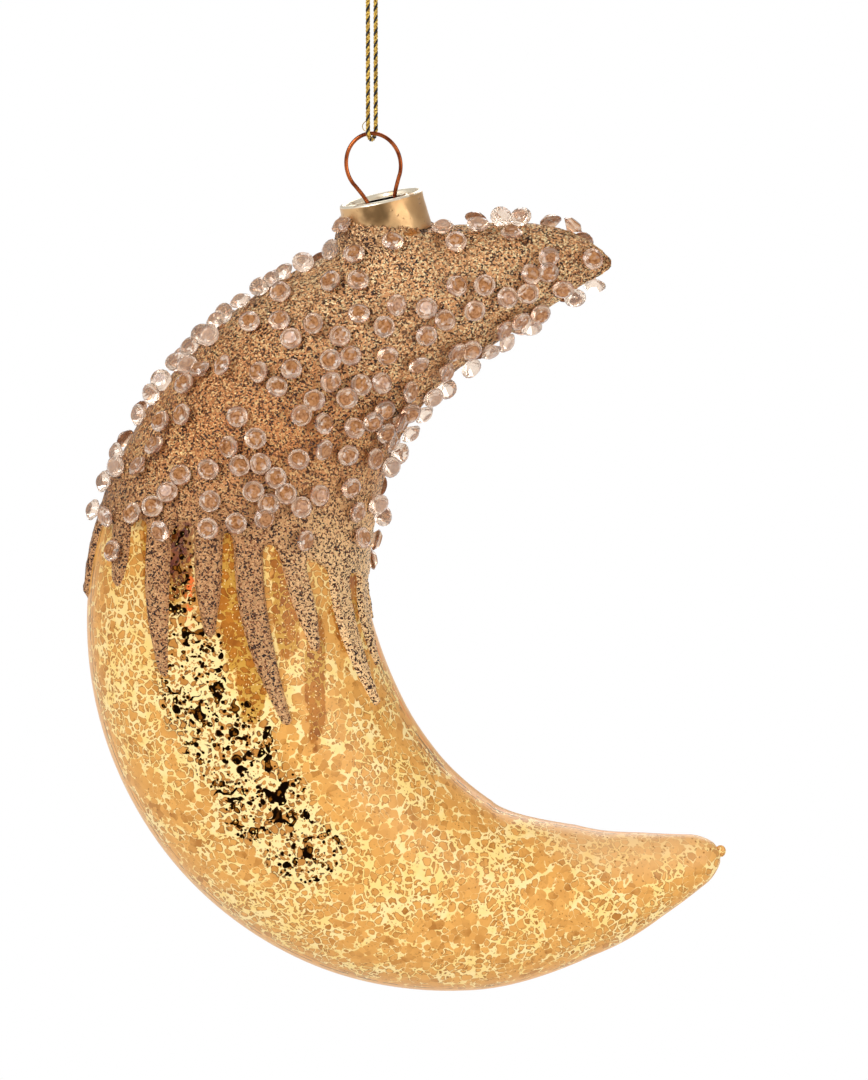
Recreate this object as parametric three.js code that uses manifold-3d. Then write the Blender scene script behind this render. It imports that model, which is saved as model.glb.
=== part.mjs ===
// Glass moon ornament: a hollow blown crescent with a coat of glitter and set stones on its upper
// half, a stamped cap over its neck, a sprung wire ring and a loop of metallic cord.
// Millimetres. +X is to the right of the front face, +Z is up, and the front faces -Y.
// The origin is where a hook bears on the inside of the cord loop.
import * as THREE from 'three';
import { mergeVertices } from 'three/addons/utils/BufferGeometryUtils.js';
import Module from 'manifold-3d';

const wasm = await Module();
wasm.setup();

// Cord loop
const cordDiameter = 0.8;
const loopHang = 32.9; // from the hook down to the underside of the ring's top wire
const loopBend = 1.75; // centre line radius of both bights
const loopTurn = THREE.MathUtils.degToRad(68); // the loop's plane, turned from the front face
const knotDiameter = 2.3;
const knotLength = 2.8;
const knotBelowHook = 7.6;
const knotTail = 2.2;

// Wire ring with its two sprung legs
const wireDiameter = 0.7;
const ringHalfWidth = 4.65; // centre line
const ringHalfHeight = 5.35;
const ringToCap = 5.8; // ring centre to the cap's top edge
const legSpacing = 4.7; // where the legs enter the cap
const legLength = 17; // below the cap's web
const legEase = 2; // length of the bends at the web and at the foot

// Stamped cap
const hangTilt = THREE.MathUtils.degToRad(12); // ring, cap and neck lean to the left
const capHeight = 6.4;
const capTopRadius = 7.25;
const capFlare = 0.45; // how much wider the cap is at its lower edge
const capSheet = 0.4;
const capRoll = 0.45; // depth of the rolled top edge
const webRecess = 0.8; // the web lies below the rolled top edge
const slotLength = 8.6;
const slotWidth = 1.5;
const slotLip = 0.35;

// Blown glass crescent
const moonHeight = 110.2; // of its centre line, from the upper end down to the lowest place
// The centre line and the half width of each station, from the upper horn's tip to the lower one's,
// as read off. x and z count from the foot of the neck.
const stations = [
  { x: 37.1, z: -3.4, half: 0.7 },
  { x: 28.9, z: -3.3, half: 5.3 },
  { x: 16.8, z: -6.3, half: 9.2 },
  { x: -0.4, z: -13.5, half: 13.7 },
  { x: -14.6, z: -25.6, half: 17.9 },
  { x: -23.9, z: -41.9, half: 21.6 },
  { x: -28.1, z: -60.2, half: 24.0 },
  { x: -25.3, z: -78.6, half: 25.1 },
  { x: -16.4, z: -95.1, half: 24.2 },
  { x: -2.4, z: -107.3, half: 21.3 },
  { x: 15.0, z: -113.6, half: 16.7 },
  { x: 33.4, z: -112.7, half: 11.5 },
  { x: 45.5, z: -109.7, half: 7.4 },
  { x: 57.1, z: -105.8, half: 3.0 },
];
const bodyDepth = 43; // front to back at the widest station
const upperTipRound = 1.2;
const lowerTipRound = 4;
const bellyWall = 0.9; // at the widest station
const wallThinning = 0.9; // glass is thicker where it was blown out less
const lowerGather = 1; // and thicker again, by this share, towards the lower tip
const solidTip = 9; // the horns' ends are drawn solid
const cavityRound = 3;
const neckAlong = 33.4; // from the upper tip along the centre line
const neckPlay = 0.45; // between the neck and the cap's skirt
const neckWall = 1.2;
const neckRimRound = 0.5;
const neckRoot = 6.2; // the neck's wall runs this far down into the shell
const sealPip = 0.6; // bead where the lower tip was sealed off

// Glitter coat
const coatGap = 0.4;
const coatThickness = 0.6;
const coatReach = 88.4; // from the upper tip along the centre line, at the moon's two sides
const borderRise = 5.3; // the border lies this much higher at the front and the back
const collarSlope = 1.7; // how far the coat piled round the cap stands out from it
const dripLead = 3; // the drips begin this far above the border
// A drip's outline: share of its length, share of its width
const dripOutline = [[0, 2.2], [0.09, 1.35], [0.2, 1], [0.45, 0.85], [0.7, 0.68], [0.9, 0.45], [0.97, 0.25]];
const maskReach = 2.5; // how far the shapes that bound the coat stand out from it
// Angles run round the section: 0 faces the front, 90 the hollow side, -90 the outer side.
// A drip leans by this much more of an angle at its end.
const drips = [
  { angle: -59, length: 7, width: 4.6, lean: 7 },
  { angle: -37.5, length: 21.4, width: 5.2, lean: 9.5 },
  { angle: -16, length: 17.2, width: 5.4, lean: 9.8 },
  { angle: 4.8, length: 36.5, width: 5.4, lean: 9 },
  { angle: 26, length: 22.8, width: 5, lean: 9.5 },
  { angle: 50.4, length: 39, width: 5, lean: 6 },
  { angle: 75.4, length: 26.2, width: 4, lean: -3 },
  { angle: 104, length: 18, width: 5, lean: 0 },
  { angle: 128, length: 30, width: 5.5, lean: -5 },
  { angle: 151, length: 12, width: 5.5, lean: -8 },
  { angle: 174, length: 26, width: 5.5, lean: -8 },
  { angle: 198, length: 15, width: 5.5, lean: -9 },
  { angle: 222, length: 31, width: 5.5, lean: -9 },
  { angle: 248, length: 17, width: 5.5, lean: -7 },
  { angle: 274, length: 9, width: 4, lean: 0 },
];

// Stones: round brilliants
const stoneDiameter = 3.8;
const crownShare = 0.16;
const pavilionShare = 0.42;
const tableShare = 0.6;
const stoneSides = 8;
const fixedSides = 6;
const fixedSink = 0.7; // how deep a fixed stone's point sits in the coat
const fixedCount = 76;
const fixedSpacing = 3.3;
const viewTilt = THREE.MathUtils.degToRad(8); // the eye looks down by this much
// Stones set one by one on the front: x and z as that eye sees them, from the foot of the neck
const frontStones = [
  [-8.6, 2.5], [0.7, 0.2], [8.4, 1.1], [14.9, 3.3], [27, -2.5], [34, -2.7], [23.9, -5.6],
  [29.2, -8.2], [11.2, -7.6], [16, -7.5], [20, -9.6], [14.1, -12], [6, -11.6], [0.9, -11.1],
  [5.8, -16.4], [-1.3, -14.6], [-5.6, -12.5], [-5.8, -6.6], [-10.6, -6.8], [-16, -2.6],
  [-26.1, -10.3], [-19, -13.4], [-13.3, -14.1], [-8.8, -16.4], [-0.5, -19.7], [4.8, -21.3],
  [9.6, -23], [19.3, -15.3], [-17, -22.1], [-22.8, -22.8], [-28.7, -21.1], [-35, -21.2],
  [-10.2, -24.2], [-5.2, -25], [7.2, -27.4], [3.2, -30.2], [-11.5, -31.7], [-6.2, -32.4],
  [-26.1, -30.1], [-35.7, -29.6], [-43.9, -29.5], [-40.5, -35], [-43.4, -38.6],
  [-35.9, -40.1], [-31.2, -39.4], [-15.7, -37.9], [-7.3, -37.2], [-6.7, -42.7], [-31.1, -49.4],
  [-44.2, -46.6], [-39.5, -50.2], [-21.5, -47.7],
];

// Clearances
const seat = 0.3; // between touching pieces
const stoneGap = 0.35;

const front = new THREE.Vector3(0, -1, 0);
const hangAxis = new THREE.Vector3(-Math.sin(hangTilt), 0, Math.cos(hangTilt));
const across = new THREE.Vector3(Math.cos(hangTilt), 0, Math.sin(hangTilt));

// The legs spring out inside the neck, which stands inside the cap
const capBottomRadius = capTopRadius + capFlare;
const neckRadius = capTopRadius - capSheet - neckPlay;
const neckBore = neckRadius - neckWall;
const legSpread = neckBore - wireDiameter; // leg offset at the foot's bend
const footSpread = neckBore + wireDiameter * 1.15; // the feet reach out under the neck
const collarRadius = capBottomRadius + collarSlope;

// Places down the hanging line, each from the one above
const wireTop = new THREE.Vector3(0, 0, -loopHang - wireDiameter / 2);
const ringReach = Math.hypot(ringHalfWidth * across.z, ringHalfHeight * hangAxis.z);
const ringTopFromCentre = across.clone().multiplyScalar((ringHalfWidth ** 2 * across.z) / ringReach)
  .addScaledVector(hangAxis, (ringHalfHeight ** 2 * hangAxis.z) / ringReach);
const ringCentre = wireTop.clone().sub(ringTopFromCentre);
const capTop = ringCentre.clone().addScaledVector(hangAxis, -ringToCap);
const coatOuter = coatGap + coatThickness;
const neckFoot = capTop.clone().addScaledVector(hangAxis, -(capHeight + seat + coatOuter));

// Crescent surface
const readHeight = stations[0].z - Math.min(...stations.map(({ z }) => z));
const growth = moonHeight / readHeight; // from the sizes as read off to those of the part
const centreLine = new THREE.SplineCurve(stations
  .map(({ x, z }) => new THREE.Vector2(x, z).multiplyScalar(growth)));
const halfWidths = new THREE.SplineCurve(stations
  .map(({ half }, i) => new THREE.Vector2(i, half * growth)));
const lineLength = centreLine.getLength();
const widest = growth * Math.max(...stations.map(({ half }) => half));
const depthShare = bodyDepth / (2 * widest);

function sectionAt(along) {
  const u = THREE.MathUtils.clamp(along / lineLength, 0, 1);
  const centre = centreLine.getPointAt(u);
  const tangent = centreLine.getTangentAt(u);
  const half = halfWidths.getPoint(centreLine.getUtoTmapping(u)).y;
  return { centre, tangent, half, beyond: along - u * lineLength };
}

function rounding(distance, length) {
  return distance >= length ? 1 : Math.sqrt(Math.max(0, 1 - (1 - distance / length) ** 2));
}

// A point of the surface that lies `offset` outside the glass, `along` the line and round the section
function skinPoint(along, angle, offset) {
  const { centre, tangent, half, beyond } = sectionAt(along);
  const taper = Math.min(rounding(along + offset, upperTipRound + offset),
    rounding(lineLength + offset - along, lowerTipRound + offset));
  const reach = (half + offset) * taper;
  const depth = (half * depthShare + offset) * taper;
  const side = reach * Math.sin(angle);
  return new THREE.Vector3(
    centre.x + beyond * tangent.x - side * tangent.y,
    -depth * Math.cos(angle),
    centre.y + beyond * tangent.y + side * tangent.x,
  ).add(moonOrigin);
}

function cavityPoint(along, angle) {
  const { centre, tangent, half } = sectionAt(along);
  const gather = 1 + lowerGather * (along / lineLength) ** 3;
  const wall = Math.min(bellyWall * (widest / half) ** wallThinning * gather, 0.6 * half);
  const taper = Math.min(rounding(along - solidTip, cavityRound),
    rounding(lineLength - solidTip - along, cavityRound));
  const side = (half - wall) * taper * Math.sin(angle);
  return new THREE.Vector3(
    centre.x - side * tangent.y,
    -(half * depthShare - wall) * taper * Math.cos(angle),
    centre.y + side * tangent.x,
  ).add(moonOrigin);
}

const moonOrigin = new THREE.Vector3();
const neckPlace = skinPoint(neckAlong, -Math.PI / 2, 0);
moonOrigin.copy(neckFoot).sub(neckPlace);

// Closed skin over rings of points, with a pole at each end
function skin(startPole, rings, endPole) {
  const columns = rings[0].length;
  const points = [startPole, ...rings.flat(), endPole];
  const last = points.length - 1;
  const index = [];
  for (let j = 0; j < columns; j += 1) {
    const k = (j + 1) % columns;
    index.push(0, 1 + j, 1 + k);
    for (let i = 0; i < rings.length - 1; i += 1) {
      const a = 1 + i * columns;
      const b = a + columns;
      index.push(a + j, b + j, a + k, a + k, b + j, b + k);
    }
    const end = 1 + (rings.length - 1) * columns;
    index.push(end + j, last, end + k);
  }
  const geometry = new THREE.BufferGeometry().setFromPoints(points);
  geometry.setIndex(index);
  return geometry;
}

function spread(count) {
  return Array.from({ length: count }, (_, i) => (i * 2 * Math.PI) / count);
}

// Distances along the line, closer together at the two rounded ends
function steps(start, end, count) {
  return Array.from({ length: count }, (_, i) => {
    const t = (i + 0.5) / count;
    return start + (end - start) * (t - (0.35 * Math.sin(2 * Math.PI * t)) / (2 * Math.PI));
  });
}

function toSolid(geometry) {
  const bare = geometry.clone();
  bare.deleteAttribute('normal');
  bare.deleteAttribute('uv');
  const merged = mergeVertices(bare, 1e-5);
  return new wasm.Manifold(new wasm.Mesh({
    numProp: 3,
    vertProperties: merged.attributes.position.array,
    triVerts: new Uint32Array(merged.index.array),
  }));
}

function toGeometry(solid) {
  const { vertProperties, triVerts } = solid.getMesh();
  const geometry = new THREE.BufferGeometry();
  geometry.setAttribute('position', new THREE.BufferAttribute(new Float32Array(vertProperties), 3));
  geometry.setIndex(new THREE.BufferAttribute(new Uint32Array(triVerts), 1));
  return geometry;
}

// A profile of [radius, height] pairs turned about the hanging axis, with heights above `base`
function turned(profile, base, sides) {
  const lathe = new THREE.LatheGeometry(profile.map(([r, h]) => new THREE.Vector2(r, h)), sides);
  lathe.rotateX(Math.PI / 2);
  lathe.rotateY(-hangTilt);
  lathe.translate(base.x, base.y, base.z);
  return lathe;
}

function tube(curve, diameter, sides, stepCount) {
  const ring = spread(sides).map((a) => new THREE.Vector2(Math.cos(a), Math.sin(a))
    .multiplyScalar(diameter / 2));
  return new THREE.ExtrudeGeometry(new THREE.Shape(ring), {
    steps: stepCount,
    extrudePath: curve,
    bevelEnabled: false,
  });
}

// Blown shell: outer skin and neck, less the cavity and the neck's bore
const webUnder = webRecess + capSheet; // underside of the cap's web, below the cap's top
const neckRim = capTop.clone().addScaledVector(hangAxis, -(webUnder + seat));
const neckHeight = neckRim.distanceTo(neckFoot);

function glassMoon() {
  const outerRings = steps(0, lineLength, 30).map((along) => spread(28)
    .map((angle) => skinPoint(along, angle, 0)));
  const body = toSolid(skin(skinPoint(0, 0, 0), outerRings, skinPoint(lineLength, 0, 0)));
  const cavityEnds = [solidTip, lineLength - solidTip];
  const cavityRings = steps(...cavityEnds, 22).map((along) => spread(18)
    .map((angle) => cavityPoint(along, angle)));
  const cavity = toSolid(skin(cavityPoint(cavityEnds[0], 0), cavityRings,
    cavityPoint(cavityEnds[1], 0)));
  const neck = toSolid(turned([
    [0, -neckRoot], [neckRadius, -neckRoot], [neckRadius, neckHeight - neckRimRound],
    [neckRadius - neckRimRound / 3, neckHeight - neckRimRound / 3],
    [neckRadius - neckRimRound, neckHeight], [0, neckHeight],
  ], neckFoot, 32));
  const bore = toSolid(turned([
    [0, -2 * neckRoot], [neckBore, -2 * neckRoot], [neckBore, neckHeight + 1], [0, neckHeight + 1],
  ], neckFoot, 32));
  const tip = skinPoint(lineLength, 0, 0);
  const pip = new THREE.SphereGeometry(sealPip, 10, 6);
  pip.scale(1.5, 1, 1);
  pip.translate(tip.x, tip.y, tip.z);
  return toGeometry(body.add(neck).subtract(cavity).subtract(bore).add(toSolid(pip)));
}

// A thin even shell over the glass, from the upper tip to below the longest drip
function coatBand() {
  const end = coatReach + Math.max(...drips.map(({ length }) => length)) + dripLead;
  const rowCount = 18;
  const surface = (offset) => Array.from({ length: rowCount }, (_, i) => {
    const along = end * ((i + 0.25) / (rowCount - 0.75)) ** 1.25;
    return spread(32).map((angle) => skinPoint(along, angle, offset));
  });
  return skin(skinPoint(-coatOuter, 0, coatOuter),
    [...surface(coatOuter), ...surface(coatGap).reverse()], skinPoint(-coatGap, 0, coatGap));
}

function linePoint(along) {
  const { centre } = sectionAt(along);
  return new THREE.Vector3(centre.x, 0, centre.y).add(moonOrigin);
}

// How far along the line the coat's border lies at an angle round the section
function borderAt(angle) {
  return coatReach - borderRise * Math.cos(angle) ** 2;
}

// All that lies above the coat's border, and a little outside the coat
function aboveBorder() {
  const shares = [...steps(0, 1, 12), 1];
  const rings = shares.map((share) => spread(24)
    .map((angle) => skinPoint(share * borderAt(angle), angle, maskReach)));
  return skin(skinPoint(-maskReach, 0, maskReach), rings, linePoint(coatReach - borderRise));
}

// A tapering run of glitter, wide where it leaves the border and blunt at its end
function drip({ angle, length, width, lean }) {
  const corners = [[-1, maskReach], [1, maskReach], [1, -maskReach], [-1, -maskReach]];
  const root = borderAt(THREE.MathUtils.degToRad(angle)) - dripLead;
  const run = (share) => ({
    along: root + share * (length + dripLead),
    middle: THREE.MathUtils.degToRad(angle + lean * Math.max(share, 0)),
  });
  const rings = dripOutline.map(([share, spreadShare]) => {
    const { along, middle } = run(share);
    const half = (spreadShare * width) / 2 / sectionAt(along).half;
    return corners.map(([side, out]) => skinPoint(along, middle + side * half, out));
  });
  const start = run(-0.05);
  const end = run(1);
  return skin(skinPoint(start.along, start.middle, 0), rings, skinPoint(end.along, end.middle, 0));
}

// A brilliant with its point at the origin and its table upwards
function brilliant(sides) {
  const radius = stoneDiameter / 2;
  const girdle = stoneDiameter * pavilionShare;
  const table = girdle + stoneDiameter * crownShare;
  const profile = [[0, 0], [radius, girdle], [radius * tableShare, table], [0, table]];
  const lathe = new THREE.LatheGeometry(profile.map(([r, h]) => new THREE.Vector2(r, h)), sides);
  lathe.rotateX(Math.PI / 2);
  return lathe;
}

// The place and the outward direction of a stone on the coat
function stoneSeat(along, angle) {
  const small = 0.02;
  const point = skinPoint(along, angle, coatOuter);
  const down = skinPoint(along + small, angle, coatOuter).sub(point);
  const round = skinPoint(along, angle + small, coatOuter).sub(point);
  return { point, normal: down.cross(round).normalize() };
}

// Where a point that the eye before the front sees lies on the coat: the nearer a place is to the
// eye, the lower it looks
function fromFront([readX, readZ]) {
  const x = readX * growth;
  const lift = coatOuter + stoneDiameter / 3;
  let nearness = 0;
  let best;
  for (let round = 0; round < 6; round += 1) {
    const z = readZ * growth + nearness * Math.tan(viewTilt);
    best = { gap: Infinity };
    for (let along = 0; along <= lineLength; along += 0.5) {
      const { centre, tangent, half } = sectionAt(along);
      const gap = Math.abs((x - centre.x) * tangent.x + (z - centre.y) * tangent.y);
      const side = (z - centre.y) * tangent.x - (x - centre.x) * tangent.y;
      const far = Math.abs(side) > 2 * half + stoneDiameter;
      if (gap < best.gap && !far) {
        const share = THREE.MathUtils.clamp(side / (half + lift), -0.985, 0.985);
        best = { gap, along, angle: Math.asin(share), depth: half * depthShare + lift };
      }
    }
    nearness = best.depth * Math.cos(best.angle);
  }
  return best;
}

const neckClear = capBottomRadius + seat + stoneDiameter / 2;

function fromNeck(along, angle) {
  const away = stoneSeat(along, angle).point.sub(neckFoot);
  return away.addScaledVector(hangAxis, -away.dot(hangAxis)).length();
}

// Moves stones apart over the surface until none touches another or the cap
function settled(stones) {
  const apart = stoneDiameter + stoneGap;
  for (let round = 0; round < 60; round += 1) {
    for (const [i, one] of stones.entries()) {
      const { point } = stoneSeat(one.along, one.angle);
      if (fromNeck(one.along, one.angle) < neckClear) {
        one.along += 0.4 * Math.sign(one.along - neckAlong);
      }
      for (const other of stones.slice(0, i)) {
        const gap = apart - point.distanceTo(stoneSeat(other.along, other.angle).point);
        if (gap > 0) {
          const radius = sectionAt(one.along).half;
          const away = new THREE.Vector2(one.along - other.along,
            (one.angle - other.angle) * radius).normalize().multiplyScalar(gap * 0.55);
          one.along += away.x;
          one.angle += away.y / radius;
          other.along -= away.x;
          other.angle -= away.y / radius;
        }
      }
    }
  }
  return stones;
}

// Even pseudo-random numbers, the same each time
function seeded(seed) {
  let state = seed;
  return () => {
    state = (state * 1664525 + 1013904223) % 4294967296;
    return state / 4294967296;
  };
}

// Stones scattered over the rest of the coat, closer together towards its lower border
function scattered(taken) {
  const random = seeded(7);
  const kept = [];
  for (let tries = 0; tries < 6000 && kept.length < fixedCount; tries += 1) {
    const share = random();
    const angle = 2 * Math.PI * random();
    const along = stoneDiameter + (borderAt(angle) - 2 * stoneDiameter) * share;
    const wanted = random() < 0.25 + 0.75 * (along / coatReach) ** 2;
    const { point } = stoneSeat(along, angle);
    const clearOf = (others, gap) => others.every((other) => (
      stoneSeat(other.along, other.angle).point.distanceTo(point) > gap));
    if (wanted && fromNeck(along, angle) > neckClear && clearOf(kept, fixedSpacing)
      && clearOf(taken, stoneDiameter + stoneGap)) {
      kept.push({ along, angle });
    }
  }
  return kept;
}

function standing(geometry, { along, angle }, lift) {
  const { point, normal } = stoneSeat(along, angle);
  const turn = new THREE.Quaternion().setFromUnitVectors(new THREE.Vector3(0, 0, 1), normal);
  return { turn, place: point.addScaledVector(normal, lift), geometry };
}

const setStones = settled(frontStones.map(fromFront));

function glitterCoat() {
  const bounds = wasm.Manifold.union([toSolid(aboveBorder()), ...drips.map((d) => toSolid(drip(d)))]);
  const shell = toSolid(coatBand()).intersect(bounds);
  const collarTop = capHeight + seat + coatOuter;
  const collar = toSolid(turned([
    [0, -collarTop], [collarRadius, -collarTop], [collarRadius, -coatOuter],
    [capBottomRadius, coatOuter], [0, coatOuter],
  ], neckFoot, 32));
  const glassKeep = steps(-coatGap, lineLength + coatGap, 30).map((along) => spread(28)
    .map((angle) => skinPoint(along, angle, coatGap)));
  const keep = toSolid(skin(skinPoint(-coatGap, 0, coatGap), glassKeep,
    skinPoint(lineLength + coatGap, 0, coatGap)));
  const hole = toSolid(turned([
    [0, -neckRoot], [neckRadius + seat, -neckRoot], [neckRadius + seat, neckHeight], [0, neckHeight],
  ], neckFoot, 32));
  const stones = scattered(setStones).map((stone) => {
    const { turn, place, geometry } = standing(brilliant(fixedSides), stone, -fixedSink);
    return toSolid(geometry.applyQuaternion(turn).translate(place.x, place.y, place.z));
  });
  const piled = collar.subtract(keep);
  return toGeometry(wasm.Manifold.union([shell, piled, ...stones]).subtract(hole));
}

// Cap: drawn skirt with a rolled top edge, a recessed web and a lipped slot for the legs
function stampedCap() {
  const inner = capTopRadius - capSheet;
  const shell = toSolid(turned([
    [0, -webUnder], [capTopRadius - 2 * capRoll, -webUnder], [inner, -webUnder - capRoll],
    [inner + capFlare, -capHeight], [capBottomRadius, -capHeight],
    [capBottomRadius - capRoll / 2, -capHeight + capRoll], [capTopRadius, -capRoll],
    [capTopRadius - capRoll / 3, -capRoll / 4], [capTopRadius - capRoll, 0],
    [capTopRadius - 1.5 * capRoll, -capRoll / 4], [capTopRadius - 2 * capRoll, -capRoll],
    [capTopRadius - 3 * capRoll, -webRecess], [0, -webRecess],
  ], capTop, 40));
  const slab = (length, width, low, high) => {
    const box = new THREE.BoxGeometry(length, width, high - low);
    box.translate(0, 0, (low + high) / 2);
    box.rotateY(-hangTilt);
    box.translate(capTop.x, capTop.y, capTop.z);
    return toSolid(box);
  };
  const lip = slab(slotLength + 2 * slotLip, slotWidth + 2 * slotLip, -webRecess - capSheet / 2,
    -webRecess + slotLip);
  const slot = slab(slotLength, slotWidth, -2 * webUnder, webUnder);
  return toGeometry(shell.add(lip).subtract(slot));
}

// Ring and legs as one bent wire, drawn in the plane of the hanging axis
function hangerWire() {
  const half = [];
  for (let degrees = 0; degrees <= 112; degrees += 14) {
    const a = THREE.MathUtils.degToRad(degrees);
    half.push([ringHalfWidth * Math.sin(a), ringHalfHeight * Math.cos(a)]);
  }
  const web = -(ringToCap + webRecess);
  const legTop = legSpacing / 2;
  const bend = legLength - legEase;
  const soft = legEase / 5;
  half.push([legTop + soft, -ringToCap + 1.5 * soft], [legTop, web], [legTop + soft / 4, web - legEase],
    [(legTop + legSpread) / 2, web - (bend + legEase) / 2], [legSpread, web - bend],
    [(legSpread + footSpread) / 2, web - legLength + soft], [footSpread, web - legLength]);
  const inPlane = ([side, height]) => ringCentre.clone().addScaledVector(across, side)
    .addScaledVector(hangAxis, height);
  const left = half.slice(1).reverse().map(([side, height]) => [-side, height]);
  const curve = new THREE.CatmullRomCurve3([...left, ...half].map(inPlane), false, 'centripetal');
  return tube(curve, wireDiameter, 8, 68);
}

// Cord: from the knot down the left strand, under the ring, up the right strand, over the hook
const loopSide = new THREE.Vector3(Math.cos(loopTurn), Math.sin(loopTurn), 0);

function inLoop(side, height) {
  return new THREE.Vector3(0, 0, height).addScaledVector(loopSide, side);
}

function cordRoute() {
  const topArc = cordDiameter / 2 - loopBend;
  const bottomArc = wireTop.z - wireDiameter / 2 - seat - cordDiameter / 2 + loopBend;
  const knotTop = -knotBelowHook + knotLength / 2 + seat;
  const knotFoot = -knotBelowHook - knotLength / 2 - seat;
  const points = [];
  const run = (from, to, side, count) => {
    for (let i = 0; i < count; i += 1) {
      points.push(inLoop(side, from + ((to - from) * i) / (count - 1)));
    }
  };
  const arc = (centre, start, count) => {
    for (let i = 1; i <= count; i += 1) {
      const a = start + (Math.PI * i) / (count + 1);
      points.push(inLoop(loopBend * Math.cos(a), centre + loopBend * Math.sin(a)));
    }
  };
  run(knotFoot, bottomArc, -loopBend, 8);
  arc(bottomArc, Math.PI, 5);
  run(bottomArc, topArc, loopBend, 10);
  arc(topArc, 0, 5);
  run(topArc, knotTop, -loopBend, 3);
  return points;
}

function cordLoop() {
  const curve = new THREE.CatmullRomCurve3(cordRoute(), false, 'centripetal');
  return tube(curve, cordDiameter, 8, 64);
}

// Overhand knot drawn tight: two lobes, and the two cut ends of the cord
function cordKnot() {
  const waist = knotDiameter * 0.42;
  const lobe = knotDiameter / 2;
  const end = knotLength / 2;
  const lathe = new THREE.LatheGeometry([
    [0, -end], [cordDiameter / 2, -end], [lobe * 0.8, -end * 0.72], [lobe, -end * 0.4],
    [waist, 0], [lobe, end * 0.4], [lobe * 0.8, end * 0.72], [cordDiameter / 2, end], [0, end],
  ].map(([r, h]) => new THREE.Vector2(r, h)), 12);
  lathe.rotateX(Math.PI / 2);
  let knot = toSolid(lathe);
  for (const lean of [-0.5, 0.45]) {
    const tail = new THREE.CylinderGeometry(cordDiameter / 2, cordDiameter / 2, knotTail, 8);
    tail.rotateX(Math.PI / 2);
    tail.translate(0, 0, knotTail / 2);
    tail.rotateX(lean + Math.PI / 2);
    tail.rotateZ(loopTurn + Math.PI / 2);
    knot = knot.add(toSolid(tail));
  }
  const place = inLoop(-loopBend, -knotBelowHook);
  return toGeometry(knot).translate(place.x, place.y, place.z);
}

const finishes = {
  cord: { color: 0xb88a30, roughness: 0.45, metalness: 0.6 },
  wire: { color: 0xa6592b, roughness: 0.25, metalness: 1 },
  cap: { color: 0xcfa763, roughness: 0.3, metalness: 1 },
  glass: { color: 0xe3aa58, roughness: 0.12, metalness: 0.7 },
  glitter: { color: 0xc39c70, roughness: 0.6, metalness: 0.5 },
  stone: { color: 0xeadfd6, roughness: 0.05, metalness: 0 },
};

const group = new THREE.Group();

function addPiece(name, geometry, finish) {
  const mesh = new THREE.Mesh(geometry, new THREE.MeshStandardMaterial(finishes[finish]));
  mesh.name = name;
  group.add(mesh);
  return mesh;
}

addPiece('cord_loop', cordLoop(), 'cord');
addPiece('cord_knot', cordKnot(), 'cord');
addPiece('hanger_wire', hangerWire(), 'wire');
addPiece('cap', stampedCap(), 'cap');
addPiece('glass_moon', glassMoon(), 'glass');
addPiece('glitter_coat', glitterCoat(), 'glitter');
setStones.forEach((stone, i) => {
  const { turn, place } = standing(null, stone, stoneGap);
  const mesh = addPiece(`stone_${String(i + 1).padStart(2, '0')}`, brilliant(stoneSides), 'stone');
  mesh.quaternion.copy(turn);
  mesh.position.copy(place);
});

export default group;
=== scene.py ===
"""A glass moon ornament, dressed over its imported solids.

The blown crescent, its dripping glitter coat, the set stones, the stamped cap, the sprung wire
and the twisted cord are modelled in metres in the row frame: +Z up, the front towards -Y, and
the origin where a hook bears inside the cord loop.
"""

import logging
import math
from dataclasses import dataclass, field
from enum import Enum
from typing import Callable, Optional, Sequence, Union

import bpy
import numpy as np
from mathutils import Matrix, Vector


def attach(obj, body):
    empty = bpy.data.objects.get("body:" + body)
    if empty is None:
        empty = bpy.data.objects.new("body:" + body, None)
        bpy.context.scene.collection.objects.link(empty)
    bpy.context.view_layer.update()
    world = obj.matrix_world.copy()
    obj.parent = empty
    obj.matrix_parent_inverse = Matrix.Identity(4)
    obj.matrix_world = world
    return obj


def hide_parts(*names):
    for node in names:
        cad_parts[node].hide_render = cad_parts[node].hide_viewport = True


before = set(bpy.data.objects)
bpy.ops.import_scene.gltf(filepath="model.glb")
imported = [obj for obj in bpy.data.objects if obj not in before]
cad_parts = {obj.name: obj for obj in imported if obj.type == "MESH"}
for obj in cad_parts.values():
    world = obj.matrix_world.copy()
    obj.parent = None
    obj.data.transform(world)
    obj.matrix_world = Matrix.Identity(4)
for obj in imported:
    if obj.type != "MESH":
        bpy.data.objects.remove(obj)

LOG = logging.getLogger("glass_moon")
MM = 0.001

Colour = tuple[float, float, float, float]
Socket = bpy.types.NodeSocket
Piece = bpy.types.Object
Material = bpy.types.Material


class Body(Enum):
    """The bodies that a piece can ride on."""

    CORD = "cord"
    HANGER = "hanger"
    CAP = "cap"
    MOON = "moon"


class Slot(Enum):
    """Names of the material slots."""

    CORD = "cord"
    WIRE = "wire"
    CAP = "cap"
    GLASS = "glass"
    GLITTER = "glitter"
    STONE = "stone"


def paint(red: int, green: int, blue: int) -> Colour:
    """Turns a colour as mixed on a screen into the linear one that a shader takes.

    Args:
        red: 0 to 255.
        green: 0 to 255.
        blue: 0 to 255.

    Returns:
        Linear red, green, blue and a full alpha.
    """
    def linear(channel: int) -> float:
        """One channel."""
        c = channel / 255
        return c / 12.92 if c <= 0.04045 else ((c + 0.055) / 1.055) ** 2.4

    return (linear(red), linear(green), linear(blue), 1.0)


def clamped(share: float) -> float:
    """Keeps a share between 0 and 1."""
    return min(1.0, max(0.0, share))


# Working in Blender


def deselect() -> None:
    """Leaves object mode with nothing selected."""
    if bpy.context.object and bpy.context.object.mode != "OBJECT":
        bpy.ops.object.mode_set(mode="OBJECT")
    bpy.ops.object.select_all(action="DESELECT")


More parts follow.
